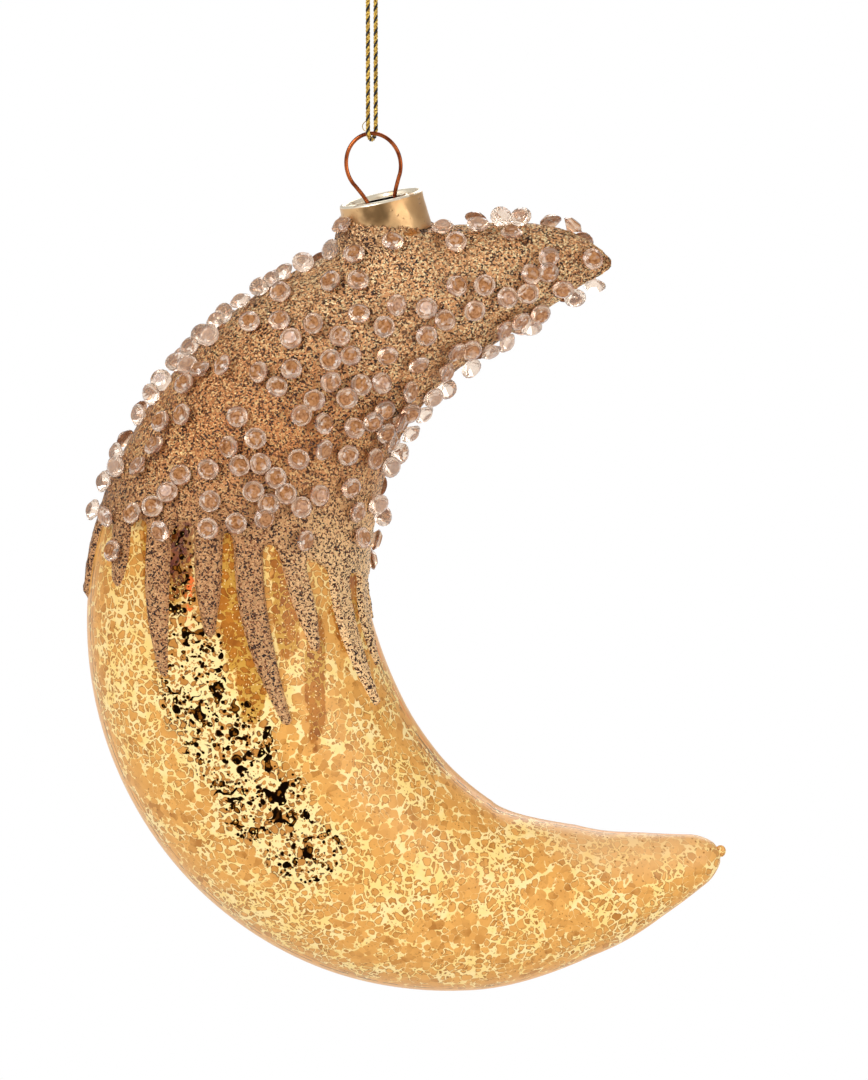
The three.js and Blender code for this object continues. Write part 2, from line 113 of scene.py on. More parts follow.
def choose(piece: Piece) -> None:
    """Makes one piece the active and only selected one.

    Args:
        piece: The piece.
    """
    deselect()
    piece.select_set(True)
    bpy.context.view_layer.objects.active = piece


def named(name: str) -> Piece:
    """Names the primitive that was just added, and its mesh.

    Args:
        name: The name.

    Returns:
        The piece.
    """
    piece = bpy.context.object
    piece.name = name
    piece.data.name = name
    return piece


def linked(name: str, data: bpy.types.ID) -> Piece:
    """Puts new data into the scene as an object of its own.

    Args:
        name: The object's name.
        data: Its mesh, curve, camera or lamp.

    Returns:
        The object.
    """
    piece = bpy.data.objects.new(name, data)
    bpy.context.scene.collection.objects.link(piece)
    return piece


def settle(piece: Piece) -> None:
    """Puts a piece's place into its mesh, so that its object sits at the origin."""
    choose(piece)
    bpy.ops.object.transform_apply(location=True, rotation=True, scale=True)


def apply_all(piece: Piece) -> None:
    """Applies every modifier of a piece, in order.

    Args:
        piece: The piece.
    """
    choose(piece)
    for modifier in list(piece.modifiers):
        bpy.ops.object.modifier_apply(modifier=modifier.name)


def smooth(piece: Piece, degrees: float = 40) -> None:
    """Shades a piece smooth, apart from edges sharper than the angle."""
    choose(piece)
    bpy.ops.object.shade_smooth_by_angle(angle=math.radians(degrees))


def join(pieces: Sequence[Piece], name: str) -> Piece:
    """Joins pieces into the first of them.

    Args:
        pieces: The pieces.
        name: The name of the whole.

    Returns:
        The joined piece.
    """
    deselect()
    for piece in pieces:
        piece.select_set(True)
    bpy.context.view_layer.objects.active = pieces[0]
    if len(pieces) > 1:
        bpy.ops.object.join()
    return named(name)


def close_up(piece: Piece, gap: float = 0.00002) -> None:
    """Merges the doubles of a piece and turns its faces outwards.

    Args:
        piece: The mesh to close.
        gap: Points closer than this, in metres, become one.
    """
    choose(piece)
    bpy.ops.object.mode_set(mode="EDIT")
    bpy.ops.mesh.select_all(action="SELECT")
    bpy.ops.mesh.remove_doubles(threshold=gap)
    bpy.ops.mesh.normals_make_consistent(inside=False)
    bpy.ops.object.mode_set(mode="OBJECT")


def pick_faces(piece: Piece, wanted: Callable[[bpy.types.MeshPolygon], bool]) -> None:
    """Selects the faces that a test wants, and leaves the piece in edit mode.

    Args:
        piece: The mesh.
        wanted: The test.
    """
    choose(piece)
    bpy.ops.object.mode_set(mode="EDIT")
    bpy.ops.mesh.select_mode(type="FACE")
    bpy.ops.mesh.select_all(action="DESELECT")
    bpy.ops.object.mode_set(mode="OBJECT")
    for polygon in piece.data.polygons:
        polygon.select = bool(wanted(polygon))
    bpy.ops.object.mode_set(mode="EDIT")


def wrapped(
    name: str, columns: int, rows: int, place: Callable[[np.ndarray, np.ndarray], np.ndarray]
) -> Piece:
    """Adds a grid and wraps it over a surface.

    Args:
        name: The piece's name.
        columns: Cells across.
        rows: Cells down.
        place: Gives the points, in metres, for places 0 to 1 across and down the grid.

    Returns:
        The wrapped sheet, with a UV map of its place across and down.
    """
    deselect()
    bpy.ops.mesh.primitive_grid_add(x_subdivisions=columns, y_subdivisions=rows, size=1)
    piece = named(name)
    flat = np.empty(len(piece.data.vertices) * 3)
    piece.data.vertices.foreach_get("co", flat)
    flat = flat.reshape(-1, 3)
    points = place(flat[:, 0] + 0.5, flat[:, 1] + 0.5)
    piece.data.vertices.foreach_set("co", points.astype(np.float32).ravel())
    piece.data.update()
    return piece


def swept(name: str, points: Sequence[Vector], radius: float, sides: int) -> Piece:
    """Sweeps a round wire along points and makes it a mesh.

    Args:
        name: The piece's name.
        points: The centre line, in metres.
        radius: The wire's radius, in metres.
        sides: Blender's bevel resolution.

    Returns:
        The wire.
    """
    curve = bpy.data.curves.new(name, "CURVE")
    curve.dimensions = "3D"
    curve.bevel_depth = radius
    curve.bevel_resolution = sides
    curve.use_fill_caps = True
    curve.resolution_u = 4
    spline = curve.splines.new("POLY")
    spline.points.add(len(points) - 1)
    for point, place in zip(spline.points, points):
        point.co = (*place, 1)
    choose(linked(name, curve))
    bpy.ops.object.convert(target="MESH")
    return named(name)


def turned(
    name: str, profile: Sequence[tuple[float, float]], base: Vector, axis: Vector, steps: int = 96
) -> Piece:
    """Spins a profile about an axis.

    Args:
        name: The piece's name.
        profile: Radius and height pairs in millimetres; it starts and ends on the axis.
        base: Height 0 on the axis, in metres.
        axis: The way up.
        steps: Steps round.

    Returns:
        The closed turned piece.
    """
    mesh = bpy.data.meshes.new(name)
    points = [(radius * MM, 0, height * MM) for radius, height in profile]
    mesh.from_pydata(points, [(i, i + 1) for i in range(len(points) - 1)], [])
    piece = linked(name, mesh)
    choose(piece)
    bpy.ops.object.mode_set(mode="EDIT")
    bpy.ops.mesh.select_all(action="SELECT")
    bpy.ops.mesh.spin(steps=steps, angle=math.tau, center=(0, 0, 0), axis=(0, 0, 1))
    close_up(piece, 1e-6)
    piece.matrix_world = standing(base, axis)
    settle(piece)
    return named(name)


def standing(base: Vector, axis: Vector) -> Matrix:
    """Gives the place of a thing that stands on a point with its own Z along an axis."""
    turn = Vector((0, 0, 1)).rotation_difference(axis).to_matrix().to_4x4()
    return Matrix.Translation(base) @ turn


def hand_in(piece: Piece, body: Body, slot: Slot, material: Material, *nodes: str) -> Piece:
    """Dresses a piece, puts it on its body and hides the CAD nodes that it replaces.

    Args:
        piece: The finished mesh.
        body: What it rides on.
        slot: Not used.
        material: The finish.
        *nodes: The CAD nodes that it replaces.

    Returns:
        The piece.
    """
    if not piece.data.materials:
        piece.data.materials.append(material)
    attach(piece, body.value)
    if nodes:
        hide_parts(*nodes)
    return piece


# Finishes


@dataclass(frozen=True)
class Signal:
    """What a node puts out at each point, for reckoning with as with a number."""

    tree: "NodeTree"
    socket: Socket

    def __add__(self, other: "Value") -> "Signal":
        """Adds."""
        return self.tree.math("ADD", self, other)

    def __sub__(self, other: "Value") -> "Signal":
        """Takes away."""
        return self.tree.math("SUBTRACT", self, other)

    def __rsub__(self, other: float) -> "Signal":
        """Takes away from a number."""
        return self.tree.math("SUBTRACT", other, self)

    def __mul__(self, other: "Value") -> "Signal":
        """Multiplies."""
        return self.tree.math("MULTIPLY", self, other)

    def __abs__(self) -> "Signal":
        """Drops the sign."""
        return self.tree.math("ABSOLUTE", self)

    def most(self, other: "Value") -> "Signal":
        """Takes the greater of the two."""
        return self.tree.math("MAXIMUM", self, other)

    def spread(self, low: float, high: float, to_low: float = 0.0, to_high: float = 1.0) -> "Signal":
        """Maps the value from one range to another, smoothly and clamped."""
        inputs = {"Value": self, "From Min": low, "From Max": high, "To Min": to_low, "To Max": to_high}
        return self.tree.take("ShaderNodeMapRange", "Result", inputs, interpolation_type="SMOOTHSTEP")

    def axis(self, name: str) -> "Signal":
        """Takes one number of a place or a colour, by X, Y or Z."""
        return self.tree.take("ShaderNodeSeparateXYZ", name, {0: self})


Value = Union[float, Signal]
Patch = tuple[float, float, float, float]


@dataclass(frozen=True)
class Cells:
    """A pattern of cells: how far a place lies from its cell's middle, and what the cell has drawn."""

    away: Signal
    drawn: Signal


class NodeTree:
    """A node tree in the making."""

    def __init__(self, tree: bpy.types.NodeTree) -> None:
        """Takes up a tree.

        Args:
            tree: Blender's tree.
        """
        self.tree = tree

    def node(self, kind: str, inputs: dict, **settings: object) -> bpy.types.Node:
        """Adds a node.

        Args:
            kind: Blender's name of the node.
            inputs: Signals or values by input name or number; None leaves an input as it is.
            **settings: The node's own settings.

        Returns:
            The node.
        """
        node = self.tree.nodes.new(kind)
        for key, value in settings.items():
            setattr(node, key, value)
        for key, value in inputs.items():
            self.feed(node.inputs[key], value)
        return node

    def take(self, kind: str, output: Union[str, int], inputs: dict, **settings: object) -> Signal:
        """Adds a node and takes one of its outputs."""
        return Signal(self, self.node(kind, inputs, **settings).outputs[output])

    def feed(self, socket: Socket, value: object) -> None:
        """Links a socket to a signal, or sets its value.

        Args:
            socket: The input.
            value: A signal, a value, or None to leave it.
        """
        if isinstance(value, Signal):
            self.tree.links.new(value.socket, socket)
        elif value is not None:
            socket.default_value = value

    def math(self, operation: str, a: Value, b: Value = 0.0, c: Optional[float] = None) -> Signal:
        """Does one step of arithmetic."""
        return self.take("ShaderNodeMath", 0, {0: a, 1: b, 2: c}, operation=operation)


class Shader(NodeTree):
    """A node material in the making."""

    def __init__(self, name: str) -> None:
        """Starts a material with a Principled shader.

        Args:
            name: The material's name.
        """
        self.material = bpy.data.materials.new(name)
        self.material.use_nodes = True
        super().__init__(self.material.node_tree)
        self.surface = self.tree.nodes["Principled BSDF"]
        self.place = self.take("ShaderNodeTexCoord", "Object", {})
        self.unwrapped = self.take("ShaderNodeTexCoord", "UV", {})

    def finished(self, **inputs: object) -> Material:
        """Sets the Principled shader's inputs, with _ for each space in a name.

        Args:
            **inputs: Signals or values.

        Returns:
            The material.
        """
        for key, value in inputs.items():
            self.feed(self.surface.inputs[key.replace("_", " ")], value)
        return self.material

    def noise(
        self, scale: float, detail: float = 2, place: Optional[Signal] = None, output: str = "Fac"
    ) -> Signal:
        """Soft noise, with its scale in features per metre."""
        inputs = {"Vector": place or self.place, "Scale": scale, "Detail": detail}
        return self.take("ShaderNodeTexNoise", output, inputs)

    def cells(self, scale: float, place: Signal) -> Cells:
        """Voronoi cells, with their scale in cells per metre."""
        outputs = self.node("ShaderNodeTexVoronoi", {"Vector": place, "Scale": scale}).outputs
        return Cells(Signal(self, outputs["Distance"]), Signal(self, outputs["Color"]))

    def walls(self, scale: float, place: Signal) -> Signal:
        """How far a place lies from the edge of its cell."""
        return self.take("ShaderNodeTexVoronoi", "Distance", {"Vector": place, "Scale": scale},
                         feature="DISTANCE_TO_EDGE")

    def specks(
        self, scale: float, place: Signal, reach: tuple[float, float], lots: tuple[float, float]
    ) -> Signal:
        """Round specks in some of the cells of a pattern.

        Args:
            scale: Cells per metre.
            place: The place.
            reach: Where a speck starts to fade and where it ends, in shares of a cell.
            lots: The draw from which a cell starts to have a speck, and from which it has one.

        Returns:
            1 in a speck, 0 outside.
        """
        cells = self.cells(scale, place)
        return cells.away.spread(*reach, 1.0, 0.0) * cells.drawn.axis("X").spread(*lots)

    def ramp(self, value: Signal, stops: Sequence[tuple[float, Colour]]) -> Signal:
        """Colours a value by stops.

        Args:
            value: Where on the band to look.
            stops: Places on the band with their colours.

        Returns:
            The colour.
        """
        node = self.node("ShaderNodeValToRGB", {"Fac": value})
        band = node.color_ramp
        while len(band.elements) < len(stops):
            band.elements.new(0.5)
        for element, (position, colour) in zip(band.elements, stops):
            element.position = position
            element.color = colour
        return Signal(self, node.outputs["Color"])

    def mix(self, share: Value, a: object, b: object, blend: str = "MIX") -> Signal:
        """Mixes two colours."""
        return self.take("ShaderNodeMix", 2, {0: share, 6: a, 7: b}, data_type="RGBA", blend_type=blend)

    def layered(self, tone: object, *layers: tuple[Value, object]) -> object:
        """Lays colours over a tone in turn, each with its share.

        Args:
            tone: The tone under them.
            *layers: Shares and colours, from below.

        Returns:
            The colour.
        """
        for share, colour in layers:
            tone = self.mix(share, tone, colour)
        return tone

    def vector(self, operation: str, a: Signal, b: object = None, output: int = 0) -> Signal:
        """Does one step of arithmetic on places."""
        return self.take("ShaderNodeVectorMath", output, {0: a, 1: b}, operation=operation)

    def scattered(self, numbers: Signal, reach: float) -> Signal:
        """Turns three numbers from 0 to 1 into a step either way, of up to half the reach."""
        return self.vector("MULTIPLY", self.vector("SUBTRACT", numbers, (0.5,) * 3), (reach,) * 3)

    def moved(self, amount: float, scale: float, place: Optional[Signal] = None) -> Signal:
        """A place that noise has shifted about, for uneven patterns.

        Args:
            amount: How far, in metres.
            scale: Noise features per metre.
            place: The place to shift.

        Returns:
            The shifted place.
        """
        place = place or self.place
        noise = self.noise(scale, 2, place, "Color")
        return self.vector("ADD", place, self.scattered(noise, amount * 2))

    def near(self, patch: Patch, place: Optional[Signal] = None) -> Signal:
        """How near a place is to the middle of an oval patch, seen from the front.

        Args:
            patch: Its X, its Z, its half width and its half height in millimetres.
            place: The place, where it isn't the plain one.

        Returns:
            1 in the middle, 0 from the edge on.
        """
        x, z, wide, high = (size * MM for size in patch)
        place = place or self.place
        across = (place.axis("X") - x) * (1 / wide)
        up = (place.axis("Z") - z) * (1 / high)
        return (across * across + up * up).spread(0.15, 1.1, 1.0, 0.0)

    def attribute(self, name: str) -> Signal:
        """A value that the mesh carries."""
        return self.take("ShaderNodeAttribute", "Fac", {}, attribute_name=name)

    def facing(self, blend: float) -> Signal:
        """How far the surface is turned from the eye, from 0 to 1."""
        return self.take("ShaderNodeLayerWeight", "Facing", {"Blend": blend})

    def bump(
        self, height: Signal, strength: float, depth: float, normal: Optional[Signal] = None
    ) -> Signal:
        """A bumped normal, with its depth in metres."""
        inputs = {"Height": height, "Strength": strength, "Distance": depth, "Normal": normal}
        return self.take("ShaderNodeBump", "Normal", inputs)


@dataclass(frozen=True)
class MetallicYarn:
    """A yarn of the cord."""

    name: str
    light: Colour
    dark: Colour
    gleam: float
    filaments_per_metre: float = 5200

    def mixed(self) -> Material:
        """Mixes the yarn: fine flat filaments that catch the light by turns.

        Returns:
            The finish.
        """
        shader = Shader(self.name)
        filaments = shader.cells(self.filaments_per_metre, shader.moved(0.0002, 900))
        tone = shader.mix(filaments.drawn.axis("X"), self.dark, self.light)
        return shader.finished(Base_Color=tone, Metallic=self.gleam, Roughness=0.38,
                               Normal=shader.bump(filaments.away, 0.7, 0.0002))


@dataclass(frozen=True)
class CopperWire:
    """The polished, copper toned spring wire."""

    tone: Colour = paint(176, 92, 44)
    shade: Colour = paint(108, 46, 18)

    def mixed(self) -> Material:
        """Mixes the wire with faint drawing lines and darker lacquer.

        Returns:
            The finish.
        """
        shader = Shader("copper_wire")
        patches = shader.noise(420, 3).spread(0.3, 0.7)
        lines = shader.noise(3500, 1)
        return shader.finished(
            Base_Color=shader.mix(patches, self.shade, self.tone), Metallic=0.9,
            Roughness=lines.spread(0.2, 0.8, 0.2, 0.36), Normal=shader.bump(lines, 0.15, 0.00005))


@dataclass(frozen=True)
class StampedGold:
    """The thin champagne gold sheet of the cap."""

    tone: Colour = paint(194, 150, 100)
    pale: Colour = paint(218, 176, 124)
    # The dark of the reflection painted down the skirt, also used in the pits
    shade: Colour = paint(84, 58, 24)
    # The painted highlight on the top of the cap
    white: Colour = paint(250, 238, 214)
    # The painted shade in the slot
    hollow: Colour = paint(16, 10, 6)
    # Where a dark reflection is painted down the skirt, seen from the front
    dark_reflection_patch: Patch = (0.7, -46.2, 3.0, 3.2)
    # The painted shade in the slot, in metres: the middle's X, and how far it reaches along X and Y
    slot_x: float = 0.0015
    slot_reach: tuple[float, float] = (0.0024, 0.0026)
    slot_depth: tuple[float, float] = (0.00076, 0.00079)

    def mixed(self) -> Material:
        """Mixes the sheet with soft dents, pits and a warm uneven tone, a painted dark reflection down the
        skirt, painted shade in the slot and a painted highlight on its top.

        Returns:
            The finish.
        """
        shader = Shader("stamped_gold")
        place = shader.place
        dents = shader.noise(170, 2, shader.moved(0.002, 260))
        pit = shader.cells(700, shader.moved(0.0006, 800)).away.spread(0.0, 0.2, 1.0, 0.0)
        tone = shader.mix(dents.spread(0.3, 0.7), self.tone, self.pale)
        # A dark reflection painted down the skirt
        shadow = shader.near(self.dark_reflection_patch, shader.moved(0.0012, 400))
        # A painted highlight on the web and the top of the rolled edge, broken up by noise
        top_highlight_share = shader.noise(330, 2).spread(0.55, 0.66, 0.0, 0.8)
        upper = shader.mix(top_highlight_share, self.white, self.tone)
        # Painted shade in the slot's opening and on its walls
        depth = abs(place.axis("Y")).spread(*self.slot_depth, 1.0, 0.0)
        width = abs(place.axis("X") - self.slot_x).spread(*self.slot_reach, 1.0, 0.0)
        tone = shader.layered(tone, (shadow * 0.85, self.shade), (pit * 0.5, self.shade),
                              (shader.attribute("upper"), upper), (depth * width, self.hollow))
        return shader.finished(Base_Color=tone, Metallic=0.7, Roughness=0.38,
                               Normal=shader.bump(dents - pit * 0.12, 0.5, 0.0009))


@dataclass(frozen=True)
class SilveredGlass:
    """Clear amber glass over a mottled mirror coat."""

    vein: Colour = paint(250, 222, 156)
    gold: Colour = paint(248, 212, 130)
    warm: Colour = paint(230, 168, 86)
    amber: Colour = paint(216, 154, 76)
    tan: Colour = paint(178, 116, 46)
    deep: Colour = paint(150, 90, 28)
    outline: Colour = paint(140, 84, 24)
    tint: Colour = paint(204, 172, 96)
    ember: Colour = paint(232, 108, 40)
    black: Colour = paint(14, 6, 2)
    brown: Colour = paint(70, 36, 8)
    peach: Colour = paint(232, 184, 128)
    smooth: Colour = paint(232, 166, 78)
    # The clear wall seen edge on, pale with a painted highlight
    edge_highlight: Colour = paint(250, 206, 180)
    # Where the mirror broke up in black spots, along the band where a dark reflection is painted down the
    # left of the body
    dark_reflection_band: tuple[Patch, ...] = (
        (-33.1, -104.6, 4.4, 13.0), (-31.0, -124.0, 7.4, 14.0), (-24.4, -136.6, 9.6, 11.0),
        (-18.6, -146.2, 9.6, 9.5), (-11.6, -154.9, 8.6, 7.0),
    )
    # Where thin glass between the drips shows the mirror's dark amber side
    amber_patches: tuple[Patch, ...] = (
        (-33.6, -102.5, 3.6, 11.0), (-23.4, -109.5, 3.4, 16.0), (-20.4, -122.0, 3.2, 13.0),
        (-14.4, -110.5, 3.2, 13.0), (-9.6, -125.0, 2.2, 13.0), (-4.6, -112.5, 2.6, 10.0),
        (-37.2, -104.5, 2.4, 9.0),
    )
    # Where painted highlights lie, drawn as more mirror between the drops, and where the mirror is thin
    highlight_patches: tuple[Patch, ...] = (
        (-6.0, -163.5, 24.0, 7.0), (12.0, -160.0, 18.0, 7.0), (-42.0, -121.0, 5.0, 12.0),
        (-24.0, -133.0, 11.0, 17.0), (-33.0, -121.0, 6.0, 9.0),
    )
    thin_patch: Patch = (46.0, -152.0, 20.0, 11.0)
    # The gap between two drips where the painted dark reflection starts, and the ember glow in its foot
    reflection_top_patch: Patch = (-33.4, -101.5, 3.4, 9.0)
    glow_patch: Patch = (-31.0, -110.5, 1.1, 7.0)
    drops_per_metre: float = 700
    beads_per_metre: float = 1500
    # The black spots: cells per metre, the least draw that makes a spot, and the widest spot
    black_spots: tuple[tuple[float, float, float], ...] = (
        (470, 0.66, 0.44), (760, 0.42, 0.46), (1350, 0.36, 0.47))
    # Where the moon's outer edge lies, in degrees round the section from its front
    outer_edge: float = 270.0
    # What turns the slant at which a place is seen into degrees round the section from the edge
    slant_degrees: float = 50.0

    def mixed(self) -> Material:
        """Mixes the mottle: drops of amber in a bright broken mirror, under clear glass, with a painted dark
        reflection down the left, painted highlights, painted shade under the coat and a painted pale edge
        highlight.

        Returns:
            The finish.
        """
        shader = Shader("silvered_glass")
        uneven = shader.moved(0.00042, 1000, shader.moved(0.0009, 260))
        # The band where a dark reflection is painted down the left of the body
        dark = self.patches(shader, self.dark_reflection_band, uneven)
        bright = self.patches(shader, self.highlight_patches, shader.place)
        colour = self.mottle(shader, uneven, dark, bright)
        colour = self.peachy(shader, colour)
        colour = self.banded(shader, colour, uneven)
        ink, black = self.blackened(shader, dark, shader.moved(0.0007, 300))
        colour = self.lined(shader, shader.mix(ink, colour, black))
        # Where the surface turns from the eye: the clear wall seen edge on, with a painted pale highlight
        colour = shader.mix(shader.facing(0.2).spread(0.82, 0.99), colour, self.edge_highlight)
        return shader.finished(
            Base_Color=colour, Roughness=0.3, IOR=1.5, Specular_IOR_Level=(1.0 - ink) * 0.2,
            Normal=shader.bump(shader.noise(60, 2), 0.1, 0.002))

    @staticmethod
    def patches(shader: Shader, patches: Sequence[Patch], place: Signal) -> Signal:
        """Joins patches of the front into one mask.

        Args:
            shader: The material.
            patches: The patches.
            place: The place.

        Returns:
            1 in a patch, 0 outside and on the back.
        """
        mask: Value = 0.0
        for patch in patches:
            mask = shader.math("MAXIMUM", mask, shader.near(patch, place))
        return mask * shader.place.axis("Y").spread(-0.006, 0.002, 1.0, 0.0)

    def mottle(self, shader: Shader, place: Signal, dark: Signal, bright: Signal) -> Signal:
        """Breaks the mirror into drops with bright gaps between them.

        Args:
            shader: The material.
            place: The unevenly shifted place.
            dark: The mask of the painted dark reflection.
            bright: The mask of the painted highlights.

        Returns:
            The colour.
        """
        cells = shader.cells(self.drops_per_metre, place)
        walls = shader.walls(self.drops_per_metre, place)
        lot = cells.drawn.axis("X")
        gap = shader.noise(110, 3).spread(0.36, 0.58, -0.04, 0.07) + lot.spread(0.0, 1.0, -0.04, 0.05)
        # Wider mirror gaps in the painted highlights and in the painted dark reflection
        gap = gap + bright * 0.05 + dark * 0.12
        rounded = lot.spread(0.0, 1.0, 0.86, 0.56) - gap - cells.away
        inside = shader.math("SMOOTH_MIN", walls - gap, rounded, 0.12)
        drop = inside.spread(-0.02, 0.03)
        tone = shader.ramp(cells.drawn.axis("Z"),
                           [(0.0, self.tan), (0.3, self.amber), (0.7, self.amber), (1.0, self.warm)])
        warmer = shader.noise(420, 3).spread(0.35, 0.65, 0.0, 0.6)
        # Drops darker amber in the painted dark reflection
        tone = shader.layered(tone, (warmer, self.warm), (dark * 0.75, self.tan))
        colour = shader.mix(drop, self.mirror(shader, place, dark), tone)
        ring = inside.spread(0.0, 0.12, 0.8, 0.0) * drop * gap.spread(0.0, 0.06)
        edge = abs(inside).spread(0.02, 0.07, 1.0, 0.0) * dark.spread(0.1, 0.6)
        edge = edge * shader.noise(500, 2).spread(0.42, 0.55, 0.0, 0.85)
        speck = shader.specks(1900, place, (0.18, 0.36), (0.6, 0.68))
        speck = speck * shader.noise(170, 2).spread(0.38, 0.52) * 0.75
        return shader.layered(colour, (ring, self.outline), (edge, self.brown), (speck, self.deep))

    def mirror(self, shader: Shader, place: Signal, dark: Signal) -> Signal:
        """The bright mirror between the drops, with small beads in it.

        Args:
            shader: The material.
            place: The shifted place.
            dark: The mask of the painted dark reflection.

        Returns:
            The colour.
        """
        bright = shader.noise(300, 2).spread(0.35, 0.65)
        light = shader.layered(self.gold, (bright, self.vein), (dark, self.vein))
        fine = shader.cells(self.beads_per_metre, place)
        beads = fine.drawn.axis("Y").spread(0.2, 1.0, 0.0, 0.5) + dark * 0.1 - fine.away
        small = shader.layered(self.amber, (fine.drawn.axis("Z"), self.tan),
                               (beads.spread(0.0, 0.12, 0.6, 0.0), self.outline))
        return shader.mix(beads.spread(0.0, 0.06), light, small)

    def banded(self, shader: Shader, colour: Signal, place: Signal) -> Signal:
        """Lays darker amber down the upper glass, between the drips, with fine gold in it, painted shade
        under the coat and the top of the painted dark reflection.

        Args:
            shader: The material.
            colour: The mottle so far.
            place: The shifted place.

        Returns:
            The mottle, darker between the drips.
        """
        torn = (shader.noise(520, 3) - 0.5) * 1.3
        share = (self.patches(shader, self.amber_patches, place) + torn).spread(0.2, 0.45, 0.0, 0.92)
        colour = shader.mix(share, colour, self.tint, "MULTIPLY")
        # Painted shade under the coat: the upper glass darker towards it
        upper = shader.place.axis("Z").spread(-0.13, -0.1, 0.0, 0.28)
        colour = shader.mix(upper, colour, self.tint, "MULTIPLY")
        gold = shader.specks(2300, place, (0.2, 0.34), (0.6, 0.66))
        colour = shader.mix(gold * share, colour, self.vein)
        # The top of the painted dark reflection, darkened between two drips
        reflection_top = self.patches(shader, [self.reflection_top_patch], place)
        reflection_top = reflection_top * shader.noise(700, 2).spread(0.44, 0.54, 0.6, 0.97)
        colour = shader.mix(reflection_top, colour, self.deep, "MULTIPLY")
        glow = self.patches(shader, [self.glow_patch], place)
        return shader.mix(glow * shader.noise(900, 2).spread(0.5, 0.6), colour, self.ember)

    def blackened(self, shader: Shader, dark: Signal, place: Signal) -> tuple[Signal, Signal]:
        """Spots, strokes and blots of black where the mirror broke up, gathered along the painted dark
        reflection.

        Args:
            shader: The material.
            dark: The mask of the painted dark reflection.
            place: The shifted place.

        Returns:
            Where the black lies, and its colour.
        """
        ink: Value = -1.0
        for scale, least, widest in self.black_spots:
            spots = shader.cells(scale, place)
            size = spots.drawn.axis("Y").spread(least, 1.0, 0.0, widest)
            ink = shader.math("MAXIMUM", ink, (size - spots.away) * (620 / scale))
        ridge = abs(shader.noise(300, 1, place) - 0.5)
        stroke = (0.045 - ridge) * 6.0 - shader.noise(230, 2).spread(0.5, 0.6, 0.6, 0.0)
        blot = (shader.noise(300, 3, place) - 0.6) * 4.0
        ink = ink.most(stroke).most(blot) - dark.spread(0.02, 0.6, 0.9, 0.0)
        bare = shader.noise(620, 3).spread(0.54, 0.62) * ink.spread(0.08, 0.2)
        holes = shader.specks(1500, place, (0.14, 0.3), (0.5, 0.56))
        full = shader.layered(self.brown, (ink.spread(0.02, 0.1), self.black),
                              (bare * 0.7, self.deep), (holes, self.gold))
        return ink.spread(0.0, 0.03), full

    def peachy(self, shader: Shader, colour: Signal) -> Signal:
        """Turns the lower horn paler, where the mirror is thin, with fine brown specks.

        Args:
            shader: The material.
            colour: The mottle so far.

        Returns:
            The mottle, paler at the horn.
        """
        thin = shader.near(self.thin_patch)
        speck = shader.specks(1500, shader.moved(0.0003, 1500), (0.2, 0.34), (0.62, 0.7))
        speck = speck * thin.spread(0.1, 0.5, 0.25, 0.8)
        return shader.layered(colour, (thin * 0.6, self.peach), (speck, self.deep))

    def lined(self, shader: Shader, colour: Signal) -> Signal:
        """Draws the thin broken lines along the edges, where the wall is seen edge on.

        Args:
            shader: The material.
            colour: The mottle so far.

        Returns:
            The mottle, smooth at the edges and with its broken lines.
        """
        slant = shader.math("ARCSINE", 1.0 - shader.facing(0.5)) * self.slant_degrees
        around = shader.unwrapped.axis("X") * 360.0
        far = abs(around - self.outer_edge).spread(80.0, 100.0, 0.0, 90.0)
        outer, inner = slant + far, slant + (90.0 - far)
        ragged = shader.noise(220, 3).spread(0.3, 0.7, -5.0, 5.0)
        plain = (outer + ragged).spread(8.0, 16.0, 0.85, 0.0)
        plain = plain.most((inner + ragged).spread(9.0, 18.0, 0.85, 0.0))
        colour = shader.mix(plain, colour, self.smooth)
        broken = shader.noise(300, 3).spread(0.46, 0.54)
        for side, at, half, tone, share in (
            (outer, 12.5, 0.7, self.brown, 0.8), (outer, 16.5, 0.5, self.deep, 0.7),
            (inner, 13.0, 0.9, self.ember, 0.7), (inner, 17.0, 1.1, self.brown, 0.65),
            (inner, 21.0, 0.7, self.deep, 0.7), (inner, 8.5, 0.5, self.deep, 0.6),
        ):
            line = abs(side - at).spread(half * 0.5, half, 1.0, 0.0)
            colour = shader.mix(line * broken * share, colour, tone)
        return colour


